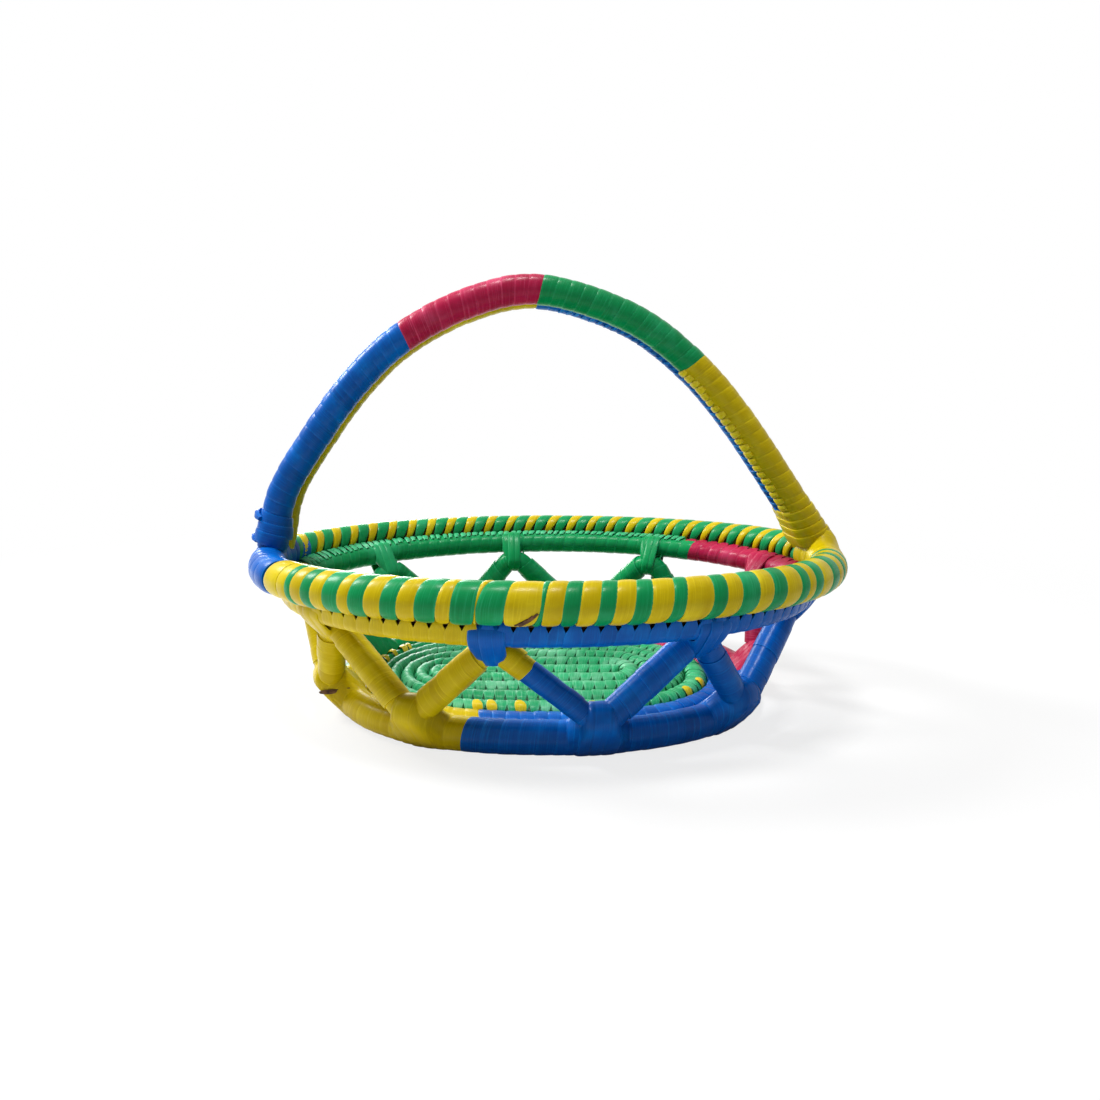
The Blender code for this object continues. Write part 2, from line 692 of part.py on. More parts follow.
def make_binding(name, colour, place_of):
    """A strip wound round both coils, just above the rim."""
    half_turn = (np.arange(BINDING_STEPS / 2 + 2) - 1 / 2) * 2 * pi / BINDING_STEPS - pi / 2
    half_turn[0] = -pi / 2
    half_turn[-1] = pi / 2
    angles = np.tile(np.concatenate([half_turn, half_turn + pi]), BINDING_TURNS)
    towards = np.tile(np.repeat([1, -1], len(half_turn)), BINDING_TURNS)
    lift = BINDING_LIFT + BINDING_PITCH * np.arange(len(angles)) / (2 * len(half_turn))
    inner = HANDLE_RADIUS * corner_reach(SIDES) + CLEARANCE / cos(pi / SIDES)
    outer = inner + LASHING_THICKNESS
    corners = []
    for side, radius in ((0, inner), (1, inner), (1, outer), (0, outer)):
        middle, along = laid(handle_middle, place_of(lift + side * (BINDING_PITCH - BINDING_GAP)))
        across = unit(np.cross(HANDLE_BACKWARD, along))
        centre = middle + (towards * HANDLE_OFFSET)[:, None] * HANDLE_BACKWARD
        round_coil = np.cos(angles)[:, None] * HANDLE_BACKWARD + np.sin(angles)[:, None] * across
        corners.append(centre + radius * round_coil)
    solid_strand(name, colour, np.stack(corners, axis=1))


def make_bindings():
    knots = len(HANDLE_SHAPE_SHARES) - 1
    places, lengths = arc_table(handle_middle, 0, knots)
    make_binding("handle_binding_left", "blue", lambda lift: np.interp(lift, lengths, places))
    make_binding(
        "handle_binding_right", "yellow", lambda lift: np.interp(lengths[-1] - lift, lengths, places)
    )


def strap(name, colour, centres, radii, directions, across):
    """A flat strip bent round strands: at each station, from a strand's centre in this direction."""
    corners = []
    for side, added in ((-1, 0), (1, 0), (1, LASHING_THICKNESS), (-1, LASHING_THICKNESS)):
        sideways = side * LASHING_WIDTH / 2 * across
        corners.append(centres + sideways + (radii + added)[:, None] * directions)
    solid_strand(name, colour, np.stack(corners, axis=1))


def lashing(name, number, ring, ring_outward, ring_reach, ring_angles, tip_angles):
    """A strap from a ring, round a bend of the wall and back to the ring.

    Its angles are counted from the ring's outward direction, upwards. Round the bend the strap stands square
    to the strand, and inside the bend it hangs clear by the slack.
    """
    place = np.array([number * pi])
    tip, along = (rows[0] for rows in laid(zigzag_line, place))
    inward = BEND_INWARD[number]
    angles = np.concatenate([ring_angles[0], tip_angles, ring_angles[1]])
    counts = [len(ring_angles[0]), len(tip_angles), len(ring_angles[1])]
    directions = np.cos(angles)[:, None] * ring_outward + np.sin(angles)[:, None] * UP
    at_tip = np.repeat([0, 1, 0], counts)[:, None]
    square = unit(directions - (directions @ along)[:, None] * along)
    directions = np.where(at_tip, square, directions)
    across = np.where(at_tip, -along, np.cross(ring_outward, UP))
    reach = ZIGZAG_RADIUS * corner_reach(SIDES) + CLEARANCE
    coarseness = cos((tip_angles[1] - tip_angles[0]) / 2)
    inside_bend = reach / coarseness + LASHING_SLACK * np.maximum(directions @ inward, 0)
    radii = np.where(at_tip[:, 0], inside_bend, ring_reach)
    colour = quadrant_colour(zigzag_angle(number * pi))
    strap(name, colour, np.where(at_tip, tip, ring), radii, directions, across)


def quadrant_colour(angle):
    """The colour of the wall at this angle."""
    degrees_round = np.degrees(angle) % 360
    return QUADRANT_COLOURS[int(np.searchsorted(ZIGZAG_BREAKS, degrees_round, side="right")) - 1]


def make_lashings():
    """Each peak is tied to the upper ring, and each trough to the foot ring."""
    beside = PEAK_TILT + pi / 2
    round_peak = np.linspace(beside, beside + pi, PEAK_STEPS)
    saddle = np.linspace(TROUGH_LASHING_START, TROUGH_LASHING_END, SADDLE_STEPS)
    ring_reach = (UPPER_RADIUS * corner_reach(SIDES) + CLEARANCE) / cos(pi / SIDES)
    for number in range(0, 2 * ZIGZAG_PERIODS, 2):
        angle = zigzag_angle(number * pi)
        roll = ROLL_MEAN - ROLL_SWING * sin(angle)
        over = np.linspace(roll + LASHING_OPENING, beside, RING_STRAP_STEPS)
        under = np.linspace(beside + pi, roll + 2 * pi - LASHING_OPENING, RING_STRAP_STEPS)
        ring, outward = upper_ring_line(np.array([angle]))[0], rim_line(np.array([angle]))[1][0]
        name = f"peak_lashing_{number // 2 + 1}"
        lashing(name, number, ring, outward, ring_reach, (over, under), round_peak)

        number += 1
        foot, outward = (rows[0] for rows in foot_line(zigzag_angle(np.array([number * pi]))))
        name = f"trough_lashing_{number // 2 + 1}"
        ends = (saddle[:1], saddle[-1:])
        lashing(name, number, foot, outward, FOOT_REACH + CLEARANCE, ends, saddle)


clear_scene()
make_rings()
make_zigzag()
make_base()
make_rim()
make_handle()
make_bindings()
make_lashings()
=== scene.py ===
# %% [markdown]
# A palm fruit basket: an oval bowl of wrapped coils, an openwork wall and a handle of two coils side by side.
# Each coil is a bundle of palm ribs with a glossy dyed strip wound round it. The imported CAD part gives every
# coil its place, and this script winds the strips that a person sees, turn by turn, round the same lines.
# All sizes are in metres, with the origin on the table under the middle of the bowl and X along the oval.

# %% Tools and the fixed frame
from math import cos, pi, radians, sin, sqrt, tan

import bpy
import numpy as np
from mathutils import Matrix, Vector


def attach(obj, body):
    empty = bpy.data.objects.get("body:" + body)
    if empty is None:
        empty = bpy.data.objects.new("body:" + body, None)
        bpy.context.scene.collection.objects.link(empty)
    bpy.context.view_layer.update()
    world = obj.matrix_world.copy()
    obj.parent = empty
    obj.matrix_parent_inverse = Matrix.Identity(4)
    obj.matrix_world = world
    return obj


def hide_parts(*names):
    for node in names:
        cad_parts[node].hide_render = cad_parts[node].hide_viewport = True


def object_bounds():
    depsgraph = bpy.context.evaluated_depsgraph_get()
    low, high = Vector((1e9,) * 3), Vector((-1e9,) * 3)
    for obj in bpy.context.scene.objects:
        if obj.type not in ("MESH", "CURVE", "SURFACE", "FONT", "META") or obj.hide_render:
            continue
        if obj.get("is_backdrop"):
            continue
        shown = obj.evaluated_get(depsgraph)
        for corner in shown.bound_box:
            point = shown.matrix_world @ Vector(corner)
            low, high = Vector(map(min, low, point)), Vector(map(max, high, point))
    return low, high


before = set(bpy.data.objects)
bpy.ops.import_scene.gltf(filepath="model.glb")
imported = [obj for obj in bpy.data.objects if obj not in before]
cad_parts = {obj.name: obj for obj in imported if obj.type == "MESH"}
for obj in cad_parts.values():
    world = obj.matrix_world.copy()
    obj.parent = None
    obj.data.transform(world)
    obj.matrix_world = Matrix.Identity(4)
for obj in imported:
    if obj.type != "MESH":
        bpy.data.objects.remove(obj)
cad_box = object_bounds()
print("CAD nodes:", len(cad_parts))

# %% [markdown]
# The camera stands where the photograph was taken: a little above the rim and about 40 cm in front of the
# middle. Its height, tilt and lens were found by fitting the rim, the foot and the handle, seen as curves
# of known size, to their outlines in the photograph.

# %% Camera
CAMERA_PLACE = (0.0011, -0.3994, 0.1443)
CAMERA_TILT = 0.1698
FRAME_PIXELS = 1100
FOCAL_PIXELS = 775.9

camera_data = bpy.data.cameras.new("camera")
camera_data.sensor_width = 36
camera_data.lens = 36 * (FOCAL_PIXELS / FRAME_PIXELS)
camera_data.clip_start = 0.01
camera = bpy.data.objects.new("camera", camera_data)
camera.location = CAMERA_PLACE
camera.rotation_euler = (pi / 2 - CAMERA_TILT, 0, 0)
bpy.context.scene.collection.objects.link(camera)
bpy.context.scene.camera = camera
bpy.context.scene.view_settings.view_transform = "Standard"
print("lens", round(camera_data.lens, 2), "mm")

# %% [markdown]
# Materials are graphs of nodes. To write such a graph out link by link takes many lines that say little, so
# two helpers make a node with all its inputs at once, whether an input holds a number or another node's output.

# %% Nodes in one call
def fill(tree, node, inputs):
    """Fills a node's inputs: an output socket is linked, anything else is set as the input's value."""
    for key, value in inputs.items():
        socket = node.inputs[key.replace("_", " ") if isinstance(key, str) else key]
        if isinstance(value, bpy.types.NodeSocket):
            tree.links.new(value, socket)
        else:
            socket.default_value = value


def add_node(tree, kind, *values, **settings):
    """A new node. Settings in lower case are its own; the values in a row and other settings are its inputs."""
    made = tree.nodes.new("ShaderNode" + kind)
    for key in [key for key in settings if key.islower()]:
        setattr(made, key, settings.pop(key))
    fill(tree, made, {**dict(enumerate(values)), **settings})
    return made


def material_with(name, **inputs):
    """A new material, its node tree, and its Principled shader with these inputs."""
    made = bpy.data.materials.new(name)
    made.use_nodes = True
    shader = made.node_tree.nodes["Principled BSDF"]
    fill(made.node_tree, shader, inputs)
    return made, made.node_tree, shader


# %% [markdown]
# The studio is a white sweep lit softly from the upper left and behind. The floor shows white to the camera
# and keeps a soft shadow: its material mixes a plain diffuse white with a white glow that only the camera sees.

# %% Floor and world
FLOOR_WHITE = (0.86, 0.86, 0.86, 1)
FLOOR_GLOW_SHARE = 0.8
FULL_GLOW_FROM, FULL_GLOW_TO = 0.16, 0.7
ROOM_LIGHT = 0.14


def floor_material():
    """Paper that glows for the camera: by the share under the basket, and fully far away from it."""
    made, tree, shader = material_with(
        "paper_sweep", Base_Color=FLOOR_WHITE, Roughness=0.9, Specular_IOR_Level=0.1
    )
    place = add_node(tree, "TexCoord").outputs["Object"]
    away = add_node(tree, "VectorMath", place, operation="LENGTH").outputs["Value"]
    glow_share = add_node(
        tree, "MapRange", away, FULL_GLOW_FROM, FULL_GLOW_TO, FLOOR_GLOW_SHARE,
        interpolation_type="SMOOTHSTEP",
    ).outputs[0]
    camera_ray = add_node(tree, "LightPath").outputs["Is Camera Ray"]
    share = add_node(tree, "Math", camera_ray, glow_share, operation="MULTIPLY").outputs[0]
    glow = add_node(tree, "Emission").outputs[0]
    mix = add_node(tree, "MixShader", share, shader.outputs[0], glow).outputs[0]
    fill(tree, tree.nodes["Material Output"], {"Surface": mix})
    return made


floor_mesh = bpy.data.meshes.new("floor")
floor_mesh.from_pydata([(-3, -3, 0), (3, -3, 0), (3, 3, 0), (-3, 3, 0)], [], [(0, 1, 2, 3)])
floor = bpy.data.objects.new("floor", floor_mesh)
floor.data.materials.append(floor_material())
bpy.context.scene.collection.objects.link(floor)
floor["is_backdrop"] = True

world = bpy.data.worlds.new("studio")
bpy.context.scene.world = world
world.use_nodes = True
tree = world.node_tree
path = add_node(tree, "LightPath").outputs
seen = path["Is Camera Ray"]
for ray in ("Is Glossy Ray", "Is Transmission Ray"):
    seen = add_node(tree, "Math", seen, path[ray], operation="MAXIMUM").outputs[0]
level = add_node(tree, "MapRange", seen, To_Min=ROOM_LIGHT, To_Max=1).outputs[0]
fill(tree, tree.nodes["Background"], {"Color": (1, 1, 1, 1), "Strength": level})

# %% Lamps
LAMP_AIM = np.array([0, 0, 0.06])
# Name, place, size in metres and power in watts
LAMPS = (
    ("key_upper_left", (-0.9, 0.28, 0.9), 0.35, 16.5),
    ("overhead", (-0.1, -0.1, 1.3), 0.3, 12),
    ("window_behind", (-0.55, 1.35, 0.42), 0.6, 12),
    ("front_fill", (-0.3, -1.3, 0.9), 1.2, 0.8),
)
for name, place, size, power in LAMPS:
    lamp = bpy.data.lights.new(name, "AREA")
    lamp.size = size
    lamp.energy = power
    lamp_object = bpy.data.objects.new(name, lamp)
    lamp_object.location = place
    away = np.array(place) - LAMP_AIM
    away = away / np.linalg.norm(away)
    lamp_object.rotation_euler = (float(np.arccos(away[2])), 0, float(np.arctan2(away[0], -away[1])))
    bpy.context.scene.collection.objects.link(lamp_object)
print("lamps:", ", ".join(lamp[0] for lamp in LAMPS))

# %% [markdown]
# Every strand follows a line of the CAD part, so the lines come first. The rim and the foot ring are ovals,
# and the upper ring lies against the rim's lower inner side: nearly beneath it in front, more inside it behind.

# %% Sizes shared with the CAD part
RIM_HALF_LENGTH = 0.142
RIM_HALF_WIDTH = 0.103
RIM_HEIGHT = 0.072
RIM_RADIUS = 0.0095
UPPER_RADIUS = 0.0058
ROLL_MEAN = radians(43)
ROLL_SWING = radians(19)
FOOT_HALF_LENGTH = 0.7296 * RIM_HALF_LENGTH
FOOT_HALF_WIDTH = 0.801 * RIM_HALF_WIDTH
FOOT_FULLNESS = 2.19
CLEARANCE = 0.0003
CORNER_REACH = sqrt(2 * pi / 8 / sin(2 * pi / 8))
FOOT_REACH = 0.008 * CORNER_REACH
FOOT_CENTRE = FOOT_REACH * cos(pi / 8)
ZIGZAG_RADIUS = 0.0055
ZIGZAG_BEND = 1.3636 * ZIGZAG_RADIUS
ZIGZAG_PERIODS = 9
PEAK_TILT = radians(52)
TROUGH_TILT = radians(50)
UP = np.array([0.0, 0.0, 1.0])


def unit(vectors):
    """Vectors divided by their lengths."""
    return vectors / np.linalg.norm(vectors, axis=-1, keepdims=True)


def signed_power(values, power):
    """A power of the values' sizes, with their signs kept."""
    return np.sign(values) * np.abs(values) ** power


def tilted(outward, tilt):
    """The outward directions, tilted up by an angle."""
    return np.cos(tilt) * outward + np.sin(tilt) * UP


def oval(angle, half_length, half_width, fullness=2.0):
    """Points of an oval, |x/a|^n + |y/b|^n = 1, and its level outward normals."""
    c, s = np.cos(angle), np.sin(angle)
    power = 2 / fullness
    x, y = half_length * signed_power(c, power), half_width * signed_power(s, power)
    steep = power * (fullness - 1)
    normal_x, normal_y = signed_power(c, steep) / half_length, signed_power(s, steep) / half_width
    level = np.zeros_like(x)
    points = np.stack([x, y, level], axis=-1)
    return points, unit(np.stack([normal_x, normal_y, level], axis=-1))


def rim_line(angle):
    """The rim's centre line and its outward normals."""
    points, outward = oval(angle, RIM_HALF_LENGTH, RIM_HALF_WIDTH)
    return points + RIM_HEIGHT * UP, outward


def upper_ring_roll(angle):
    """How far below the level the upper ring lies, seen from the rim's centre."""
    return ROLL_MEAN - ROLL_SWING * np.sin(angle)


def below_rim(angle, reach):
    """The rim's line moved inwards and down, in the direction of the upper ring's roll."""
    points, outward = rim_line(angle)
    return points - reach * tilted(outward, upper_ring_roll(angle)[..., None])


def upper_ring_line(angle):
    """The upper ring's centre line, away from the rim's by both radii."""
    return below_rim(angle, RIM_RADIUS + UPPER_RADIUS * CORNER_REACH + CLEARANCE)


def foot_line(angle):
    """The foot ring's centre line and its outward normals."""
    points, outward = oval(angle, FOOT_HALF_LENGTH, FOOT_HALF_WIDTH, FOOT_FULLNESS)
    return points + FOOT_CENTRE * UP, outward


# %% [markdown]
# The wall is one strand that goes up and down between the foot ring and the upper ring. Its nine peaks hang
# inside the upper ring and its nine troughs stand outside the foot ring. The legs are straight, joined by
# round bends, because a bundle of ribs bends evenly where it is tied.

# %% Lines of the wall
def peak_line(angle):
    """Where the wall's strand runs at its peaks: inside and below the upper ring."""
    outward = rim_line(angle)[1]
    reach = (UPPER_RADIUS + ZIGZAG_RADIUS) * CORNER_REACH + CLEARANCE
    return upper_ring_line(angle) - reach * tilted(outward, PEAK_TILT)


def trough_line(angle):
    """Where it runs at its troughs: outside and above the foot ring."""
    points, outward = foot_line(angle)
    reach = FOOT_REACH + ZIGZAG_RADIUS * CORNER_REACH + CLEARANCE
    return points + reach * tilted(outward, TROUGH_TILT)


def bend_shape(corners):
    """At each corner, the direction into the bend and half the angle between its two legs."""
    before = unit(np.roll(corners, 1, axis=0) - corners)
    after = unit(np.roll(corners, -1, axis=0) - corners)
    inward = unit(before + after)
    return inward, np.arccos((after * inward).sum(axis=1))


BEND_NUMBERS = np.arange(2 * ZIGZAG_PERIODS)
BEND_ANGLES = pi + BEND_NUMBERS * pi / ZIGZAG_PERIODS
TIPS = np.where((BEND_NUMBERS % 2 == 0)[:, None], peak_line(BEND_ANGLES), trough_line(BEND_ANGLES))
BEND_STEPS = 12
LEG_STEPS = 22
corners = TIPS
for _ in range(8):
    inward, half = bend_shape(corners)
    corners = TIPS - ZIGZAG_BEND * (1 / np.sin(half) - 1)[:, None] * inward
BEND_INWARD, BEND_HALF = bend_shape(corners)


def half_bend(number, leg):
    """An arc of circle from the tip of a bend to the start of its leg, as far as the leg's direction asks."""
    inward, half = BEND_INWARD[number], BEND_HALF[number]
    sideways = unit(leg - (leg @ inward) * inward)
    turn = np.linspace(0, pi / 2 - half, BEND_STEPS)[:, None]
    centre = corners[number] + ZIGZAG_BEND / sin(half) * inward
    return centre + ZIGZAG_BEND * (np.sin(turn) * sideways - np.cos(turn) * inward)


def wall_path():
    """Half a bend, a straight leg, half a bend, and so on round the wall and two legs further."""
    pieces, tips, count = [], [0], len(corners)
    for number in range(count + 2):
        here, there = number % count, (number + 1) % count
        leg = unit(corners[there] - corners[here])
        first, last = half_bend(here, leg), half_bend(there, -leg)[::-1]
        share = np.linspace(0, 1, LEG_STEPS)[1:-1, None]
        pieces += [first, first[-1] * (1 - share) + last[0] * share, last]
        tips.append(sum(len(piece) for piece in pieces) - 1)
    path = np.concatenate(pieces)
    lengths = np.concatenate([[0], np.cumsum(np.linalg.norm(np.diff(path, axis=0), axis=1))])
    return path, lengths[tips]


WALL_PATH, TIP_LENGTHS = wall_path()
print("wall strand:", round(TIP_LENGTHS[-3], 3), "m in", 2 * ZIGZAG_PERIODS, "legs")

# %% [markdown]
# A strand is kept as a table: points along its line, how far along each one lies, and the two directions
# square to it. Any place along it is then found by interpolation, for whole arrays at once.

# %% Strands as tables
class Strand:
    """A centre line with its length, outward direction and upward direction at each point."""

    def __init__(self, points, up=UP, angles=None):
        keep = np.ones(len(points), bool)
        keep[1:] = np.linalg.norm(np.diff(points, axis=0), axis=1) > 1e-7
        points = points[keep]
        steps = np.linalg.norm(np.diff(points, axis=0), axis=1)
        self.lengths = np.concatenate([[0], np.cumsum(steps)])
        self.angles = self.lengths if angles is None else angles
        along = unit(np.gradient(points, self.lengths, axis=0))
        outward = unit(np.cross(along, up))
        self.table = np.concatenate([points, outward, np.cross(outward, along)], axis=1)

    def at(self, length):
        """Point, outward direction and upward direction at these lengths."""
        columns = [np.interp(length, self.lengths, column) for column in self.table.T]
        return np.split(np.stack(columns, axis=-1), 3, axis=-1)

    def angle_at(self, length):
        """The angle round the oval at these lengths."""
        return np.interp(length, self.lengths, self.angles)

    def length_at(self, degrees):
        """How far along the table the point at this angle lies. Angles run from 180 by the front."""
        return np.interp(np.radians(degrees), self.angles, self.lengths)

    def around(self, length, roll):
        """Point, outward and upward direction, and the direction of the roll, which starts outward."""
        point, outward, upward = self.at(length)
        turned = np.cos(roll)[..., None] * outward + np.sin(roll)[..., None] * upward
        return point, outward, upward, turned

    def skin(self, length, roll, radius):
        """A point of the round skin: the centre, plus the radius in the direction of the roll."""
        point, _, _, turned = self.around(length, roll)
        return point + radius[..., None] * turned


# %% Tables of the rings and the wall
ANGLES = np.linspace(pi - 0.5, 3 * pi + 0.5, 2401)
rim_strand = Strand(rim_line(ANGLES)[0], angles=ANGLES)
upper_strand = Strand(upper_ring_line(ANGLES), angles=ANGLES)
foot_strand = Strand(foot_line(ANGLES)[0], angles=ANGLES)
wall_strand = Strand(WALL_PATH)
print("rim", round(rim_strand.length_at(540) - rim_strand.length_at(180), 4), "m round")

# %% [markdown]
# A wound strip is a ribbon with a flat underside and a crowned top. Its edge dips under the next turn, which
# gives the fine step that shows between turns. The same function winds every strip: it takes the skin of a
# strand, the turns, and where each edge of the strip lies, and puts out one closed body.

# %% Meshes from grids
SHARP_ANGLE = radians(50)


def add_solid(name, grids, uvs, material):
    """One mesh of closed strands. Each grid is stations x corners x 3, its corners going round a section."""
    grids = np.asarray(grids, float)
    if grids.ndim == 3:
        grids, uvs = grids[None], np.asarray(uvs, float)[None]
    count, stations, around, _ = grids.shape
    index = np.arange(count * stations * around).reshape(count, stations, around)
    beside = np.roll(index, -1, axis=2)
    quads = np.stack([index[:, :-1], beside[:, :-1], beside[:, 1:], index[:, 1:]], axis=-1).reshape(-1, 4)
    caps = np.concatenate([index[:, 0, ::-1], index[:, -1, :]])
    points = grids.reshape(-1, 3)
    a, b, c, d = (points[quads[:, k]] for k in range(4))
    volume = (np.cross(b - a, c - a) * a).sum() + (np.cross(c - a, d - a) * a).sum()
    if volume < 0:
        quads, caps = quads[:, ::-1], caps[:, ::-1]
    loops = np.concatenate([quads.ravel(), caps.ravel()])
    starts = np.concatenate([np.arange(len(quads)) * 4, len(quads) * 4 + np.arange(len(caps)) * around])
    mesh = bpy.data.meshes.new(name)
    mesh.vertices.add(len(points))
    mesh.vertices.foreach_set("co", points.ravel())
    mesh.loops.add(len(loops))
    mesh.loops.foreach_set("vertex_index", loops)
    mesh.polygons.add(len(starts))
    mesh.polygons.foreach_set("loop_start", starts)
    layer = mesh.uv_layers.new(name="strip")
    flat = np.broadcast_to(uvs, (*grids.shape[:3], 2)).reshape(-1, 2)[loops]
    layer.data.foreach_set("uv", np.ascontiguousarray(flat).ravel())
    mesh.update(calc_edges=True)
    mesh.validate()
    mesh.shade_smooth()
    mesh.set_sharp_from_angle(angle=SHARP_ANGLE)
    mesh.materials.append(material)
    made = bpy.data.objects.new(name, mesh)
    bpy.context.scene.collection.objects.link(made)
    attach(made, "root")
    print(name, len(quads) * 2, "triangles")
    return made


# Where the corners of a ribbon's top lie across it, close together at the edges
CROSSWISE = np.array([0, 0.04, 0.14, 0.32, 0.5, 0.68, 0.86, 0.96, 1])


def ribbon_grid(skin, turns, near_edge, far_edge, radius, crown=0.0006, lap=0.0004, thickness=0.0008):
    """A ribbon wound round a skin: at each turn, from its near edge to its far edge along the strand.

    Height across it: the radius, less the crown times (2w - 1)^4, less the lap times w.
    """
    share = CROSSWISE[None, :]
    length = near_edge[:, None] * (1 - share) + far_edge[:, None] * share
    roll = np.broadcast_to(2 * pi * turns[:, None], length.shape)
    radius = np.broadcast_to(np.asarray(radius, float).reshape(-1, 1), length.shape)
    height = radius - crown * (2 * share - 1) ** 4 - lap * share
    outer = skin(length, roll, height)
    inner = skin(length[:, [-1, 0]], roll[:, [-1, 0]], height[:, [-1, 0]] - thickness)
    grid = np.concatenate([outer, inner], axis=1)
    across = np.concatenate([CROSSWISE, [1, 0]])
    uv = np.stack(np.broadcast_arrays(turns[:, None], across[None, :]), axis=-1)
    return grid, uv


def wobble(x, seed):
    """A smooth uneven line between about -1 and 1: sines of rising pitch with fixed phases."""
    rng = np.random.default_rng(seed)
    total = np.zeros_like(np.asarray(x, float))
    for octave in range(4):
        pitch = 1.7**octave * (0.8 + 0.4 * rng.random())
        total += np.sin(x * pitch + 2 * pi * rng.random()) / 1.35**octave
    return total / 2.2


# %% [markdown]
# The strips are dyed, smooth and glossy. Their colour is a little uneven from turn to turn, has fine streaks
# that run lengthwise, and is paler at the edges, partly because the plastic is thinner there and partly as a
# painted highlight along the crowned edges. One node group works this out from the strip's own map: U counts
# turns and V goes across the strip. Each colour then uses the group.

# %% Node group for wound strips
GROUP_SOCKETS = {
    "INPUT": (
        ("Colour", "Color"), ("Pale", "Color"), ("Deep", "Color"), ("Streaks", "Float"),
        ("Unevenness", "Float"), ("Edge", "Float"), ("Gloss", "Float"),
    ),
    "OUTPUT": (("Colour", "Color"), ("Roughness", "Float"), ("Height", "Float")),
}


def build_strip_group():
    """Colour: the base colour, mixed in turn with the deep or the pale one by five masks."""
    group = bpy.data.node_groups.new("wound_strip", "ShaderNodeTree")
    for way, sockets in GROUP_SOCKETS.items():
        for name, kind in sockets:
            group.interface.new_socket(name, in_out=way, socket_type="NodeSocket" + kind)
    enter = group.nodes.new("NodeGroupInput").outputs
    leave = group.nodes.new("NodeGroupOutput")
    strip = add_node(group, "UVMap", uv_map="strip").outputs["UV"]
    place = add_node(group, "TexCoord").outputs["Object"]

    def noise(vector, detail, scale=1, roughness=0.5):
        settings = {"Vector": vector, "Scale": scale, "Detail": detail, "Roughness": roughness}
        return add_node(group, "TexNoise", **settings).outputs["Fac"]

    def stretched(scale):
        """The strip's map, stretched."""
        return add_node(group, "Mapping", Vector=strip, Scale=scale).outputs["Vector"]

    def worked(operation, *values):
        return add_node(group, "Math", *values, operation=operation).outputs[0]

    def mask(source, low, high, strength):
        """A value, made 0 to 1 between two levels, times a strength from the group's inputs."""
        spread = add_node(group, "MapRange", source, low, high, interpolation_type="SMOOTHSTEP")
        return worked("MULTIPLY", spread.outputs[0], enter[strength])

    streak = noise(stretched((2.2, 17, 1)), 3, roughness=0.6)
    wrinkle = noise(stretched((26, 2.2, 1)), 2)
    slow = noise(stretched((0.83, 0.3, 1)), 1)
    blotch = noise(place, 3, scale=55)
    across = add_node(group, "SeparateXYZ", strip).outputs["Y"]
    from_middle = worked("ABSOLUTE", worked("SUBTRACT", across, 0.5))
    colour = enter["Colour"]
    for source, low, high, strength, other in (
        (slow, 0.35, 0.72, "Unevenness", "Deep"),
        (blotch, 0.5, 0.75, "Unevenness", "Pale"),
        (streak, 0.52, 0.72, "Streaks", "Pale"),
        (worked("SUBTRACT", 1, streak), 0.55, 0.75, "Streaks", "Deep"),
        # painted highlight in part: the strip is paler towards both edges, along its crown
        (from_middle, 0.36, 0.5, "Edge", "Pale"),
    ):
        mix = add_node(group, "Mix", mask(source, low, high, strength), data_type="RGBA")
        fill(group, mix, {6: colour, 7: enter[other]})
        colour = mix.outputs[2]
    unevenness = add_node(group, "MapRange", streak, To_Min=-0.08, To_Max=0.14).outputs[0]
    fill(group, leave, {
        "Colour": colour,
        "Roughness": worked("ADD", unevenness, enter["Gloss"]),
        "Height": worked("MULTIPLY_ADD", wrinkle, 0.6, streak),
    })
    return group


strip_group = build_strip_group()

# %% [markdown]
# The finishes: strips in green, yellow, blue and crimson; a paler green for the bottom, partly its own milkier
# tone and partly painted light from above; paler colours for the small stitches, which are painted highlights
# on their own colours; a dark green that paints the shade in the bottom's holes; and the brown palm ribs
# inside. Strips are smooth and slightly waxy, so they have low roughness and a thin clear coat. The ribs are
# dull and fibrous.

# %% Materials
# Base, pale and deep colour of each strip, and what its material changes
LOOKS = {
    "green": ((0.0, 0.255, 0.07), (0.05, 0.50, 0.24), (0.0, 0.14, 0.035), {}),
    "yellow": ((0.56, 0.42, 0.0), (0.88, 0.75, 0.03), (0.37, 0.24, 0.0), {}),
    "blue": ((0.0, 0.092, 0.42), (0.0, 0.25, 0.80), (0.0, 0.035, 0.18), {}),
    "red": ((0.42, 0.007, 0.055), (0.85, 0.14, 0.28), (0.22, 0.003, 0.022), {}),
    # painted light in part: the bottom's green is paler than the strips', partly its own milkier tone and
    # partly the light from above painted in
    "base_green_and_painted_light": (
        (0.02, 0.42, 0.16), (0.30, 0.76, 0.48), (0.0, 0.20, 0.05),
        {"streaks": 0.7, "unevenness": 0.5, "edge": 0.25, "gloss": 0.36, "bump": 0.5},
    ),
    # painted shade: a dark green for the strands that show through the bottom's holes
    "painted_shade_green": ((0.0, 0.10, 0.03), (0.0, 0.16, 0.05), (0.0, 0.05, 0.012), {"gloss": 0.5}),
    # painted highlight: stitch colours paler than the strips they are sewn with
    "stitch_green_painted_highlight": ((0.04, 0.42, 0.18), (0.30, 0.76, 0.50), (0.0, 0.22, 0.07), {"streaks": 0.6}),
    "stitch_yellow_painted_highlight": ((0.80, 0.60, 0.01), (0.95, 0.84, 0.20), (0.60, 0.42, 0.0), {"streaks": 0.6}),
    "stitch_blue_painted_highlight": ((0.0, 0.17, 0.62), (0.10, 0.42, 0.90), (0.0, 0.06, 0.30), {"streaks": 0.6}),
}
RIB_TONES = ((0.35, (0.035, 0.012, 0.003, 1)), (0.7, (0.17, 0.075, 0.022, 1)))


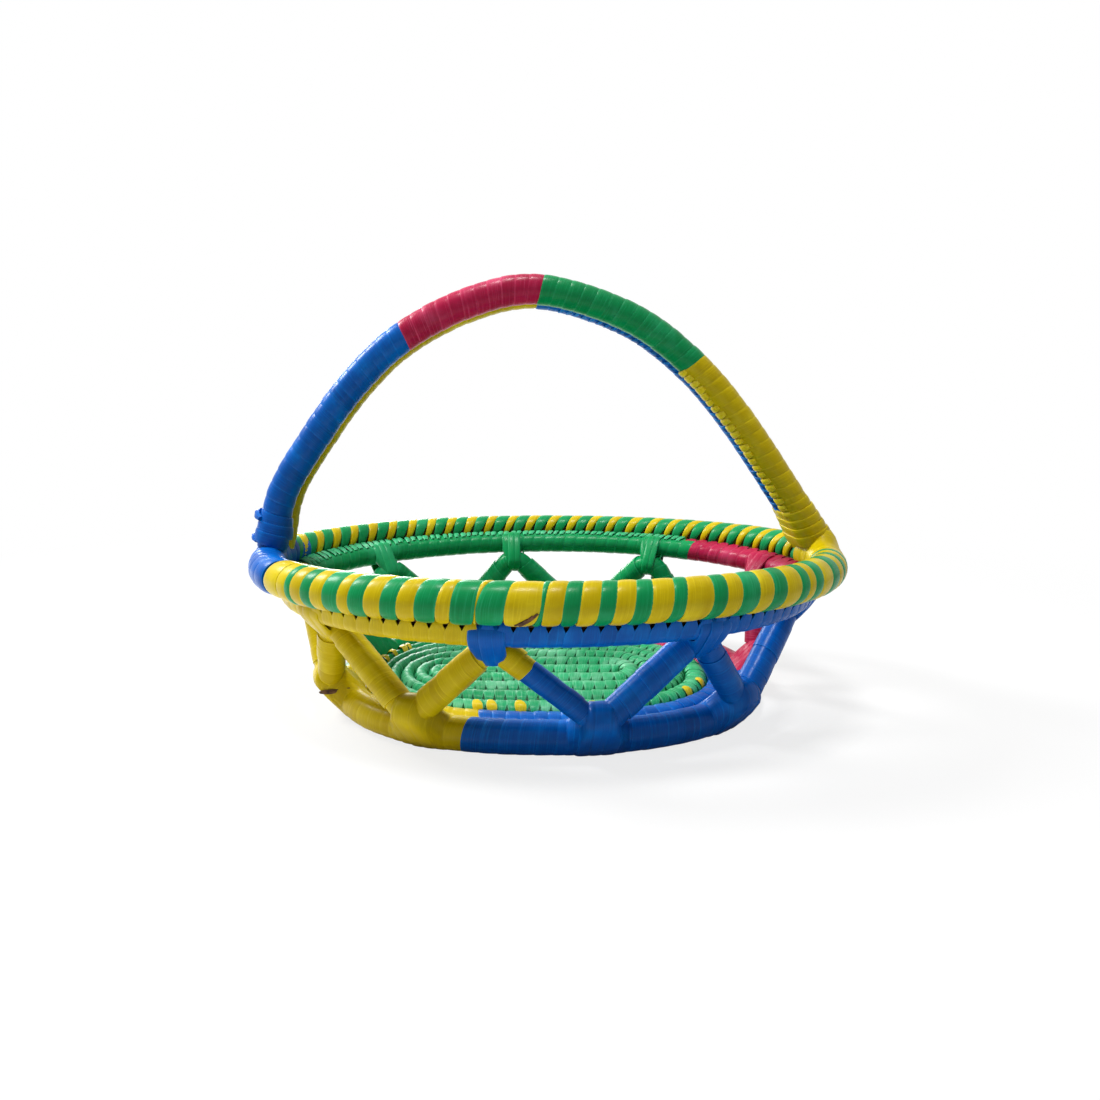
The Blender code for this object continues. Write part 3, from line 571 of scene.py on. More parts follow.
def strip_material(
    colour, base, pale, deep, streaks=0.35, unevenness=0.35, edge=0.2, gloss=0.3, bump=0.2
):
    made, tree, shader = material_with(
        f"wound_strip_{colour}", Coat_Weight=0.06, Coat_Roughness=0.16, Specular_IOR_Level=0.1
    )
    effect = add_node(
        tree, "Group", node_tree=strip_group, Colour=(*base, 1), Pale=(*pale, 1), Deep=(*deep, 1),
        Streaks=streaks, Unevenness=unevenness, Edge=edge, Gloss=gloss,
    ).outputs
    relief = add_node(tree, "Bump", Strength=bump, Distance=0.0004, Height=effect["Height"])
    looks = {"Base Color": effect["Colour"], "Roughness": effect["Roughness"]}
    fill(tree, shader, {**looks, "Normal": relief.outputs["Normal"]})
    return made


def rib_material():
    """Brown ribs: fine noise, dark in its grooves, which are also the relief."""
    made, tree, shader = material_with("palm_ribs", Roughness=0.85)
    place = add_node(tree, "TexCoord").outputs["Object"]
    fibres = add_node(tree, "TexNoise", Vector=place, Scale=420, Detail=4).outputs["Fac"]
    tone = add_node(tree, "ValToRGB", fibres)
    for stop, (position, colour) in zip(tone.color_ramp.elements, RIB_TONES):
        stop.position, stop.color = position, colour
    relief = add_node(tree, "Bump", Strength=0.6, Distance=0.0006, Height=fibres)
    fill(tree, shader, {"Base Color": tone.outputs["Color"], "Normal": relief.outputs["Normal"]})
    return made


STRIPS = {
    colour: strip_material(colour, *tones, **changes) for colour, (*tones, changes) in LOOKS.items()
}
RIBS = rib_material()
for name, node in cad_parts.items():
    if "_core" in name:
        node.data.materials.clear()
        node.data.materials.append(RIBS)
print("finishes:", ", ".join(STRIPS), "and palm ribs")

# %% [markdown]
# The rim is wound with two strips side by side. On the real basket their widths vary from turn to turn, so
# the front stripes use widths measured on the photograph, from the blue wrap at the left foot of the handle to
# the right end. The strips narrow where they dive between the rim and the ring below, which leaves small
# dark notches where the ribs show.

# %% Rim strips
RIM_TURN_LENGTH = 0.0149
LEFT_END = rim_strand.length_at(180)
FRONT_START = 0.0604
# Widths in millimetres, in turn a yellow and a green stripe
FRONT_WIDTHS = (
    (11.1, 0.3), (6.3, 3.8), (6.6, 5.9), (6.6, 7.8), (5.3, 7.5), (7.2, 7.0), (7.5, 8.6), (5.5, 9.4),
    (0.5, 10.6), (13.3, 1.4), (6.9, 6.3), (7.1, 6.0), (7.3, 6.6), (8.4, 5.3), (11.3, 6.1), (7.1, 8.5),
    (7.0, 7.8), (8.9, 5.6), (4.5, 6.2), (9.2, 8.8), (6.5, 5.0), (5.2, 4.1),
)
BACK_START = 0.3993
BACK_END = 0.7566
BACK_PAIRS = 27
WRAP_RADIUS = RIM_RADIUS - 0.0004
RIM_STEPS = 28
RIM_FIRST = -0.62
RIM_PINCH_WIDTH = 0.95
STRIP_UNDER = 0.15
WRAP_THICKNESS = 0.0012


def back_widths():
    """Even pairs along the back, each a little wider or narrower, the green one usually the wider."""
    rng = np.random.default_rng(5)
    pairs = 1 + 0.14 * (rng.random(BACK_PAIRS) - 0.5)
    pairs = pairs / pairs.sum() * (BACK_END - BACK_START) * 1000
    share = 0.43 + 0.1 * (rng.random(BACK_PAIRS) - 0.5)
    return np.stack([pairs * share, pairs * (1 - share)], axis=1)


def beside(roll, place, width, power=2):
    """1 where the roll is at this place, falling to 0 as exp(-(distance / width)^power), power even."""
    away = (roll - place + pi) % (2 * pi) - pi
    return np.exp(-((away / width) ** power))


def rim_pair(side, start, widths, slide, straight):
    """Both strips of a stretch of rim: the edges of turn n are read off the running sum of the widths.

    The turns run straight where the roll is 2 pi times the last value, and lean more on the other side.
    """
    widths = np.array(widths) / 1000
    begins = start + np.concatenate([[0], np.cumsum(widths.sum(axis=1))])
    middles = begins[:-1] + widths[:, 0]
    numbers = np.arange(len(widths))
    turns = np.linspace(RIM_FIRST, len(widths) - 0.3, len(widths) * RIM_STEPS + 1)
    held = turns - slide * np.sin(2 * pi * (turns - straight)) / (2 * pi)
    for colour, near, far in (("yellow", begins[:-1], middles), ("green", middles, begins[1:])):
        edges = [
            np.interp(held, numbers, edge - numbers * RIM_TURN_LENGTH) + held * RIM_TURN_LENGTH
            for edge in (near, far)
        ]
        middle, half = (edges[0] + edges[1]) / 2 + LEFT_END, (edges[1] - edges[0]) / 2
        roll = 2 * pi * turns
        pinch = beside(roll, pi + upper_ring_roll(rim_strand.angle_at(middle)), RIM_PINCH_WIDTH)
        narrow = np.clip(1 - half / 0.0011, 0, 1)
        half = np.maximum(half * (1 - 0.5 * pinch) + 0.0001, 0.0002)
        under = np.clip(1 - (turns - RIM_FIRST) / STRIP_UNDER, 0, 1)
        under = under + 0.4 * np.clip(-turns / STRIP_UNDER, 0, 1)
        uneven = 0.00012 * wobble(turns * 2.2, len(colour))
        radius = WRAP_RADIUS - 0.0003 * pinch - 0.0009 * narrow + uneven - 0.0015 * under
        grid, uv = ribbon_grid(
            rim_strand.skin, turns, middle - half, middle + half, radius,
            crown=0.0004, lap=0.0, thickness=WRAP_THICKNESS,
        )
        piece = add_solid(f"rim_strip_{colour}_{side}", grid, uv, STRIPS[colour])
        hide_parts(f"rim_wrap_{colour}_{side}")


rim_pair("front", FRONT_START, FRONT_WIDTHS, 0.42, 0.0)
rim_pair("back", BACK_START, back_widths(), 0.95, -0.125)
print("front stripes end at", round(FRONT_START + np.sum(FRONT_WIDTHS) / 1000, 4), "m from the left end")

# %% [markdown]
# All other strands are wound with one strip at a time, in even turns. One function does them all: it gets the
# skin to wind on, the turns, where the strip's edges lie and how thick the strand is.

# %% Windings
def winding(name, colour, skin, first, last, edges, radius, node, steps=20, tuck=0.0, **profile):
    """One strip wound from its first turn to its last. Edges gives both edges' places for the turns.

    Both ends dive under, by the tuck times the square of how far into the last 0.15 turn a place lies.
    """
    turns = np.linspace(first, last, int(round((last - first) * steps)) + 1)
    near, far = edges(turns)
    under = np.clip(1 - np.minimum(turns - first, last - turns) / STRIP_UNDER, 0, 1)
    height = radius(turns, (near + far) / 2) - tuck * under**2
    grid, uv = ribbon_grid(skin, turns, near, far, height, **profile)
    piece = add_solid(name, grid, uv, STRIPS[colour])
    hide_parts(node)


def even_edges(start, pitch, slide=0.3, overlap=1.12, pinch=None):
    """Edges one pitch apart, a little lapped. The slide straightens the turns where the roll is 0.

    Place: start + pitch (turn - slide sin(2 pi turn) / 2 pi), half width: pitch / 2 times the lap, pinched.
    """

    def edges(turns):
        place = start + pitch * (turns - slide * np.sin(2 * pi * turns) / (2 * pi))
        half = pitch * overlap / 2 * (1 if pinch is None else 1 - pinch(2 * pi * turns, place))
        return place - half, place + half

    return edges


def steady(radius, depth=0.00012, seed=1):
    """The same radius all along, but for a slow unevenness."""
    return lambda turns, place: radius + depth * wobble(turns * 1.9, seed)


# %% [markdown]
# At each foot of the handle one colour covers the rim, and it climbs up against the handle's coils like a
# fillet. So these windings have a skin of their own: the rim's round one, raised in a hump under the foot.

# %% Broad wraps at the handle's feet
# Colour, side, degrees of the foot, lift and spread of the hump, begin and end from the left end, turns,
# overlap, seed
BROAD_WRAPS = (
    ("blue", "left", 180, 0.005, 0.0095, -0.0236, 0.0604, 10, 1.12, 8),
    ("yellow", "right", 361.2, 0.008, 0.013, 0.3547, 0.4016, 5, 1.2, 9),
)
HUMP_WIDTH = 0.62


def foot_skin(middle, lift, spread):
    """The rim's skin with a hump at the top: the lift falls off along the rim and down both sides."""

    def skin(length, roll, radius):
        along = np.exp(-(((length - middle) / spread) ** 4))
        return rim_strand.skin(length, roll, radius + lift * along * beside(roll, pi / 2, HUMP_WIDTH))

    return skin


for colour, side, foot, lift, spread, begin, end, turns, overlap, seed in BROAD_WRAPS:
    winding(
        f"rim_strip_{colour}_{side}", colour, foot_skin(rim_strand.length_at(foot), lift, spread),
        0.4, turns - 0.4, even_edges(LEFT_END + begin, (end - begin) / turns, overlap=overlap),
        steady(WRAP_RADIUS, seed=seed), f"rim_wrap_{colour}_{side}", steps=28, thickness=WRAP_THICKNESS,
    )

# %% [markdown]
# The upper ring, the foot ring and the wall are each one strand in four colours. All turns of a ring are
# numbered through, and a colour takes the turns from its start to its end, so two colours meet along one edge
# of the strip, as they do on the basket. The upper ring's strip is sewn into the rim: towards the rim each turn
# is drawn out into a narrow tongue.

# %% Rings in four colours
QUADRANTS = ("yellow", "blue", "red", "green")


def four_colours(prefix, node, skin, marks, turns_round, edges, radius, **profile):
    """Four windings in a row: a colour takes the turns from its own mark to the next one's."""
    for colour, first, last in zip(QUADRANTS, marks, marks[1:] + [marks[0] + turns_round]):
        winding(
            f"{prefix}_strip_{colour}", colour, skin, first, last, edges, radius, f"{node}_{colour}",
            **profile,
        )


def ring_windings(prefix, strand, breaks, turns_round, skin, radius, pinch=None, phase=0.5, **profile):
    """Four windings round a ring. A colour changes at the turn nearest its break, at the hidden roll."""
    start = strand.length_at(180)
    pitch = (strand.length_at(540) - start) / turns_round
    marks = [np.round((strand.length_at(place) - start) / pitch) + phase for place in breaks]
    edges = even_edges(start, pitch, pinch=pinch)
    four_colours(prefix, prefix, skin, marks, turns_round, edges, radius, **profile)
    return pitch


TONGUE_WIDTH = 0.72
TONGUE_REACH = 0.0024
FOOT_WRAP_RADIUS = 0.0077


def upper_tongue(roll, length):
    """How much a turn is drawn out at this roll: exp(-(angle from the rim / the tongue's width)^4)."""
    return beside(roll, upper_ring_roll(upper_strand.angle_at(length)), TONGUE_WIDTH, 4)


def upper_skin(length, roll, radius):
    return upper_strand.skin(length, roll, radius + TONGUE_REACH * upper_tongue(roll, length))


upper_pitch = ring_windings(
    "upper_ring", upper_strand, (180, 257, 360, 409), 104, upper_skin,
    steady(UPPER_RADIUS + 0.0002, seed=2), pinch=lambda roll, place: 0.55 * upper_tongue(roll, place),
    phase=0.25, steps=24, crown=0.0003, lap=0.0002,
)
foot_pitch = ring_windings(
    "foot_ring", foot_strand, (178, 249, 356, 410), 76, foot_strand.skin,
    steady(FOOT_WRAP_RADIUS, 0.00005, seed=4), phase=0.75, crown=0.00015, lap=0.0002,
)
print("pitch of the upper ring", round(upper_pitch, 5), "and of the foot ring", round(foot_pitch, 5))

# %% The wall's strand
WALL_TURNS = 150
WALL_BREAKS = (
    TIP_LENGTHS[0], TIP_LENGTHS[4] + 0.011, TIP_LENGTHS[9], (TIP_LENGTHS[11] + TIP_LENGTHS[12]) / 2
)
THIN_LEG = (TIP_LENGTHS[4] + 0.013, TIP_LENGTHS[5] - 0.006)


def wall_radius(turns, place):
    """Even, but 1 mm less in the bends, under their ties, and 1.3 mm less in the first blue leg.

    In a bend: 1 mm times exp(-(distance from its tip / 9 mm)^4). The thin leg eases in and out over 5 mm.
    """
    inside = np.minimum(place - THIN_LEG[0], THIN_LEG[1] - place) / 0.005 + 0.5
    bend = np.exp(-((np.abs(place[:, None] - TIP_LENGTHS).min(axis=1) / 0.009) ** 4))
    thinner = 0.0010 * bend + 0.0013 * np.clip(inside, 0, 1)
    return ZIGZAG_RADIUS + 0.0011 - thinner + 0.0002 * wobble(turns * 1.9, 6)


wall_pitch = TIP_LENGTHS[2 * ZIGZAG_PERIODS] / WALL_TURNS
marks = [np.round(length / wall_pitch) + 0.5 for length in WALL_BREAKS]
four_colours(
    "wall", "zigzag", wall_strand.skin, marks, WALL_TURNS, even_edges(0, wall_pitch, overlap=1.16),
    wall_radius, tuck=0.0008, crown=0.00008, lap=0.0001,
)

# %% [markdown]
# Where a bend of the wall meets a ring, the same strip goes round both. The skin of such a wrap is that of two
# strands side by side, which is a long oval, and towards its ends it closes down on to the ring alone.

# %% Wraps that tie the wall to the rings
COLOUR_ENDS = (260, 360, 410)
PEAK_TIE_RADIUS, TROUGH_TIE_RADIUS = 0.0071, 0.0083
TIE_FULL = 0.0035
PEAK_FADE, TROUGH_FADE = 0.0060, 0.0085
TROUGH_LEVEL = 0.0001


def tie_skin(strand, number, level=None):
    """The skin round a ring and one bend of the wall, and how far along the ring its middle is.

    The bend lies across and above the ring, and nears it towards the ends of the tie. The centre of the roll
    moves from one to the other with 3 cos(roll - bearing), kept within 1. Nothing lies below the level.
    """
    middle = strand.length_at(np.degrees(BEND_ANGLES[number]))
    point, outward, upward = strand.at(middle)
    offset = TIPS[number] - point
    across, rise = float(offset @ outward), float(offset @ upward)
    bearing = np.arctan2(rise, across)
    fade = PEAK_FADE if level is None else TROUGH_FADE

    def skin(length, roll, radius):
        point, outward, upward, turned = strand.around(length, roll)
        nearness = np.clip((np.abs(length - middle) - TIE_FULL) / fade, 0, 1)
        close = (1 + np.cos(pi * nearness)) / 2
        side = (1 + np.clip(3 * np.cos(roll - bearing), -1, 1)) / 2
        shift = (close * side)[..., None] * (across * outward + rise * upward)
        placed = point + shift + radius[..., None] * turned
        if level is not None:
            placed[..., 2] = np.maximum(placed[..., 2], level)
        return placed

    return skin, middle


def tie(kind, strand, number, radius, level=None, turns=5, pitch=0.0052):
    """A few turns round a ring and the bend of the wall at the same angle, thinner towards both ends."""
    skin, middle = tie_skin(strand, number, level)
    degrees_round = np.degrees(BEND_ANGLES[number])
    colour = QUADRANTS[int(np.searchsorted(COLOUR_ENDS, degrees_round, side="right"))]
    half = turns / 2
    winding(
        f"{kind}_tie_{number // 2 + 1}", colour, skin, -half, half,
        even_edges(middle, pitch, slide=0.5, overlap=1.3),
        lambda turns, place: radius - 0.0006 * (turns / half) ** 2 + 0.00015 * wobble(turns * 3, number),
        f"{kind}_lashing_{number // 2 + 1}", steps=24, tuck=0.002, crown=0.0004, lap=0.0002,
    )


for number in range(0, 2 * ZIGZAG_PERIODS, 2):
    behind = 10 < number < 18
    tie("peak", upper_strand, number, PEAK_TIE_RADIUS, turns=3, pitch=0.0034 if behind else 0.0045)
    tie("trough", foot_strand, number + 1, TROUGH_TIE_RADIUS, level=TROUGH_LEVEL)

# %% [markdown]
# The bottom is one long coil, sewn row to row, with one more ring just inside the foot ring. In the plan the
# rows lie at an even distance from a straight first run, and a mapping turns that long oval into the foot's.
# The stitches stand close on top of a row and narrow at its sides, so small holes show between the rows.

# %% Plan of the bottom
BASE_START_HALF_LENGTH = 0.045
BASE_START_SHIFT = 0.012
BASE_HEIGHT = 0.0131
BASE_RING_HEIGHT = 0.0128
BASE_TURN_GAP = 0.0009
BASE_SIDE = 0.0006
BASE_LIFT = 0.0004
BASE_TURNS = 4
BASE_END_WIDTH = 0.003
BASE_ROUNDING = 1.5
BASE_STITCH_LENGTH = 0.0062
ROW_SQUARENESS = 0.8
ARC_STEPS = 40
BASE_ROOM = FOOT_HALF_WIDTH - 0.008 - CLEARANCE
FOOT_EXCESS = FOOT_HALF_LENGTH - FOOT_HALF_WIDTH
BASE_PITCH = BASE_ROOM / (0.5 + BASE_TURNS + 1)


def base_place(x, y):
    """The real place of a point of the plan: its distance from the first run sets how round its row is."""
    beyond = np.maximum(np.abs(x) - BASE_START_HALF_LENGTH, 0)
    distance = np.hypot(beyond, y)
    share = distance / BASE_ROOM
    along = x / (BASE_START_HALF_LENGTH + distance)
    half_length = BASE_START_HALF_LENGTH * (1 - share) + (BASE_ROOM + FOOT_EXCESS) * share
    full = distance * np.maximum(1 - np.abs(along) ** FOOT_FULLNESS, 0) ** (1 / FOOT_FULLNESS)
    rounded = share**BASE_ROUNDING
    real_x = half_length * along - BASE_START_SHIFT * (1 - share)
    return real_x, np.sign(y) * ((1 - rounded) * np.abs(y) + rounded * full)


def plan_arc(centre_x, centre_y, radius, start, end):
    """Points of an arc of circle, one after the other."""
    angles = np.linspace(start, end, ARC_STEPS)
    return np.stack([centre_x + radius * np.cos(angles), centre_y + radius * np.sin(angles)], axis=1)


def coil_plan():
    """A round nose, then half circles joined by straight runs, each left one half a pitch further out.

    The last one is squeezed thin against the row inside it.
    """
    half, pitch = BASE_START_HALF_LENGTH, BASE_PITCH
    full = (pitch - BASE_TURN_GAP) / 2
    nose = np.linspace(0.06, pi / 2, 9)
    path = [np.stack([half + full * np.cos(nose), 0 * nose], axis=1)]
    widths = [full * np.sin(nose)]
    for turn in range(BASE_TURNS):
        path.append(plan_arc(-half, -pitch / 2, (turn + 0.5) * pitch, pi / 2, 3 * pi / 2))
        path.append(plan_arc(half, 0, (turn + 1) * pitch, -pi / 2, pi / 2))
        widths.append(np.full(2 * ARC_STEPS, full))
    inside = BASE_TURNS * pitch
    angles = np.linspace(pi / 2, 3 * pi / 2, ARC_STEPS)
    outward = np.stack([np.cos(angles), np.sin(angles)], axis=1)
    rise, run = outward[:, 1] * pitch / 2, outward[:, 0] * pitch / 2
    room = rise + np.sqrt(((BASE_TURNS + 0.5) * pitch) ** 2 - run**2) - inside
    kept = room > BASE_END_WIDTH + BASE_TURN_GAP
    last = plan_arc(-half, -pitch / 2, inside, pi / 2, 3 * pi / 2) + room[:, None] / 2 * outward
    path.append(last[kept])
    widths.append((room[kept] - BASE_TURN_GAP) / 2)
    path, widths = np.concatenate(path), np.concatenate(widths)
    return np.concatenate([path, np.zeros((len(path), 1))], axis=1), widths


def ring_plan():
    """The outermost row: an even distance from the first run, from 176 degrees by the front and round."""
    middle = ((BASE_TURNS + 0.5) * BASE_PITCH + BASE_TURN_GAP / 2 + BASE_ROOM) / 2
    x = np.cos(ANGLES) * (BASE_START_HALF_LENGTH + middle)
    beyond = np.maximum(np.abs(x) - BASE_START_HALF_LENGTH, 0)
    y = np.sign(np.sin(ANGLES)) * np.sqrt(np.maximum(middle**2 - beyond**2, 0))
    half_width = (BASE_ROOM - (BASE_TURNS + 0.5) * BASE_PITCH - BASE_TURN_GAP / 2) / 2
    return np.stack([x, y, 0 * x], axis=1), half_width


def base_skin(strand, height, widths):
    """Skin of a row: sideways by the half width times the roll's cosine, up by the height times its sine.

    Both powers of 0.8 make the row a little squarer than round. The radius only adds or takes a little, a
    quarter as much sideways, and the side closes the row against the next one.
    """

    def skin(length, roll, radius):
        point, outward, _ = strand.at(length)
        width = np.interp(length, strand.lengths, np.broadcast_to(widths, strand.lengths.shape))
        wide, rise = signed_power(np.cos(roll), ROW_SQUARENESS), signed_power(np.sin(roll), ROW_SQUARENESS)
        plan = point + ((width + BASE_SIDE + radius / 4) * wide)[..., None] * outward
        x, y = base_place(plan[..., 0], plan[..., 1])
        z = BASE_LIFT + height / 2 + (height / 2 + radius) * rise
        return np.stack([x, y, z], axis=-1)

    return skin


# %% Rows of the bottom
coil_path, coil_widths = coil_plan()
corner_numbers = np.arange(len(coil_path))
places = (corner_numbers[:-1, None] + np.linspace(0, 1, 12)[:-1]).ravel()
coil_strand = Strand(np.stack([np.interp(places, corner_numbers, column) for column in coil_path.T], axis=1))
coil_widths = np.interp(places, corner_numbers, coil_widths)[: len(coil_strand.lengths)]
ring_path, ring_half_width = ring_plan()
ring_strand = Strand(ring_path, angles=ANGLES)
coil_skin = base_skin(coil_strand, BASE_HEIGHT, coil_widths)
ring_skin = base_skin(ring_strand, BASE_RING_HEIGHT, ring_half_width)
coil_length = coil_strand.lengths[-1]
COIL_TURNS = int(coil_length / BASE_STITCH_LENGTH)
print("bottom coil:", round(coil_length, 3), "m,", COIL_TURNS, "stitches")


def side_pinch(share):
    """A stitch narrows at both sides of its row, by share times |cos(roll)|^2.5."""
    return lambda roll, place: share * np.abs(np.cos(roll)) ** 2.5


coil_pitch = coil_length / COIL_TURNS
# painted light in part: the bottom's paler green
winding(
    "base_coil_strip", "base_green_and_painted_light", coil_skin, 0, COIL_TURNS,
    even_edges(0, coil_pitch, slide=0, overlap=1.04, pinch=side_pinch(0.62)),
    lambda turns, place: -0.0001 + 0.00025 * wobble(turns * 2.4, 12), "base_coil",
    steps=14, crown=0.00025, lap=0.0002,
)
ring_windings(
    "base_ring", ring_strand, (176, 246, 356, 408), 78, ring_skin,
    lambda turns, place: -0.0001 + 0.0002 * wobble(turns * 2.4, 13), pinch=side_pinch(0.45), phase=0.75,
    steps=14, crown=0.0004, lap=0.0002,
)

# %% [markdown]
# Holes between turns need something behind them, or the white floor shines through. Under the bottom's strips
# lies a smooth dark green strand, which paints the shade seen in the holes, and the rim and the upper ring are
# sewn together over a seam of ribs.

# %% What shows in the holes
SEAM_RADIUS = 0.0027
SEAM_DEPTH = 0.0002


def under_layer(name, skin, reach, steps, sides=12, radius=-0.0012, ribs=False):
    """A smooth strand on a skin, with no turns, from one place of the strand to another."""
    length, roll = np.broadcast_arrays(
        np.linspace(*reach, steps)[:, None], np.linspace(0, 2 * pi, sides, endpoint=False)[None, :]
    )
    grid = skin(length, roll, np.full(length.shape, radius))
    uv = np.stack([length * 100, roll], axis=-1)
    piece = add_solid(name, grid, uv, RIBS if ribs else STRIPS["painted_shade_green"])


def all_round(strand):
    """The places where a ring's strand begins and ends, which nearly touch."""
    return strand.length_at(180), strand.length_at(539.9)


# painted shade: dark green strands under the bottom's rows, seen in the holes between stitches
under_layer("base_coil_painted_shade", coil_skin, (0, coil_length - 0.0005), 420)
under_layer("base_ring_painted_shade", ring_skin, all_round(ring_strand), 220)
seam_strand = Strand(below_rim(ANGLES, RIM_RADIUS - SEAM_DEPTH), angles=ANGLES)
under_layer(
    "seam_ribs", seam_strand.skin, all_round(seam_strand), 260, sides=8, radius=SEAM_RADIUS, ribs=True
)

# %% [markdown]
# Small sewing stitches show in several places: pale ones where the upper ring is sewn to the rim, at the back,
# yellow ones on the bottom's outer rows, and rows of them where the handle's two coils are sewn together. Their
# finishes are paler than the strips they lie on: the stitches are real, and the paleness is a painted
# highlight. A stitch is a short strap that lies on a skin, so one function makes a whole row of them as one
# mesh. Bits of brown rib that show where a strip is torn are straps too.

# %% Small stitches
STRAP_SECTION = np.array([(-1, 0), (-0.6, 1), (0.6, 1), (1, 0), (0.6, -0.6), (-0.6, -0.6)])
STRAP_STATIONS = 6


def small_stitches(
    name, material, skin, lengths, rolls, half_width, radius,
    slant=0.0, hump=0.0006, thickness=0.0004, seed=1,
):
    """Straps across a skin between two rolls. Height: the radius plus the hump times sin(pi t).

    Each lies at its own length, shifted by the slant times (t - 0.5), and narrows to 0.6 at both ends.
    """
    lengths = np.asarray(lengths, float)
    rng = np.random.default_rng(seed)
    t = np.linspace(0, 1, STRAP_STATIONS)[None, :, None]
    shape = (len(lengths), 1, 1)
    reach = 1 + 0.16 * (rng.random(shape) - 0.5)
    wide = half_width * (1 + 0.3 * (rng.random(shape) - 0.5)) * (0.6 + 0.4 * np.sin(pi * t))
    thick = thickness * (1 + 0.3 * (rng.random(shape) - 0.5))
    low, high = (np.broadcast_to(np.asarray(roll, float).reshape(-1, 1, 1), shape) for roll in rolls)
    roll = low + (high - low) * t * reach
    place = lengths[:, None, None] + slant * (t - 0.5) + wide * STRAP_SECTION[:, 0]
    height = radius + hump * np.sin(pi * t) + thick * STRAP_SECTION[:, 1]
    place, roll, height = np.broadcast_arrays(place, roll, height)
    turn = t + np.arange(len(lengths))[:, None, None]
    uv = np.stack(np.broadcast_arrays(turn, STRAP_SECTION[:, 0] / 2 + 0.5), axis=-1)
    add_solid(name, skin(place, roll, height), uv, STRIPS.get(material, RIBS))


def seen_at(pixels, height):
    """The point of a level plane behind each pixel of the photograph, by the ray from the camera."""
    pixels = np.asarray(pixels, float)
    across, down = ((pixels - FRAME_PIXELS / 2) / FOCAL_PIXELS).T
    forward = cos(CAMERA_TILT) - down * sin(CAMERA_TILT)
    fall = -sin(CAMERA_TILT) - down * cos(CAMERA_TILT)
    far = (height - CAMERA_PLACE[2]) / fall
    return CAMERA_PLACE[0] + across * far, CAMERA_PLACE[1] + forward * far


def nearest_on_row(strand, pixels, height, begin=0.0):
    """How far along a row of the bottom the stitch lies that is nearest to each pixel."""
    x, y = seen_at(pixels, height)
    line_x, line_y = base_place(strand.table[:, 0], strand.table[:, 1])
    away = np.hypot(line_x - x[:, None], line_y - y[:, None]) + 10 * (strand.lengths < begin)
    return strand.lengths[np.argmin(away, axis=1)]


# %% Stitches and torn places
OUTER_ROW_PIXELS = (
    (587, 701), (612, 698), (676, 686), (693, 679), (497, 699), (520, 702), (482, 705), (471, 708)
)
LEFT_END_PIXELS = ((375, 657), (382, 651), (389, 645), (398, 643))
TORN_PLACES = rim_strand.length_at(267) + np.array([-0.0020, -0.0004, 0.0014])
TORN_ROLLS = (np.array([-0.45, -0.3, -0.2]), np.array([-0.95, -0.95, -0.8]))
back_ring = np.linspace(upper_strand.length_at(412), upper_strand.length_at(534), 64)
back_join = upper_ring_roll(upper_strand.angle_at(back_ring))
slit_skin, slit_middle = tie_skin(foot_strand, 1, TROUGH_LEVEL)

# painted highlight: the stitches' finishes are paler than the strips under them
small_stitches(
    "back_ring_stitches", "stitch_green_painted_highlight", upper_skin,
    back_ring + 0.0006 * wobble(back_ring * 900, 3), (back_join + 0.25, back_join + 1.5),
    0.0016, UPPER_RADIUS + 0.0004, slant=0.0015, seed=31,
)
small_stitches(
    "base_yellow_stitches", "stitch_yellow_painted_highlight", coil_skin,
    nearest_on_row(coil_strand, OUTER_ROW_PIXELS, BASE_HEIGHT, coil_length * 0.6),
    (0.2, 1.4), 0.0030, 0.0004, seed=32,
)
small_stitches(
    "base_left_stitches", "stitch_yellow_painted_highlight", ring_skin,
    nearest_on_row(ring_strand, LEFT_END_PIXELS, BASE_HEIGHT), (0.3, 2.8), 0.0026, 0.0006, seed=33,
)
small_stitches(
    "torn_ribs", "ribs", rim_strand.skin, TORN_PLACES, TORN_ROLLS,
    0.0009, WRAP_RADIUS, slant=-0.005, hump=0.0001, seed=34,
)
small_stitches(
    "slit_ribs", "ribs", slit_skin, [slit_middle + 0.009], (1.2, -0.35),
    0.0006, 0.0087, slant=-0.006, hump=0.0003, seed=38,
)

# %% [markdown]
# The handle is two coils side by side. The front one is blue, crimson, green and yellow, the back one yellow
# and blue. Its curve goes through twelve points measured on the photograph.

# %% The handle's line
HANDLE_RADIUS = 0.0075
HANDLE_HEIGHT = 0.1236
HANDLE_SET_BACK = 0.002
HANDLE_YAW = radians(2.5)
HANDLE_SHAPE = np.array((
    (-0.982, 0.0), (-0.937, 0.204), (-0.817, 0.422), (-0.676, 0.633), (-0.507, 0.811), (-0.275, 0.948),
    (-0.028, 1.0), (0.275, 0.9), (0.493, 0.73), (0.676, 0.503), (0.873, 0.188), (0.975, 0.0),
))
HANDLE_FOOT = RIM_HEIGHT + RIM_RADIUS + CLEARANCE
HANDLE_BACKWARD = np.array([-sin(HANDLE_YAW), cos(HANDLE_YAW), 0.0])
HANDLE_OFFSET = HANDLE_RADIUS * CORNER_REACH * cos(pi / 8) + CLEARANCE / 2


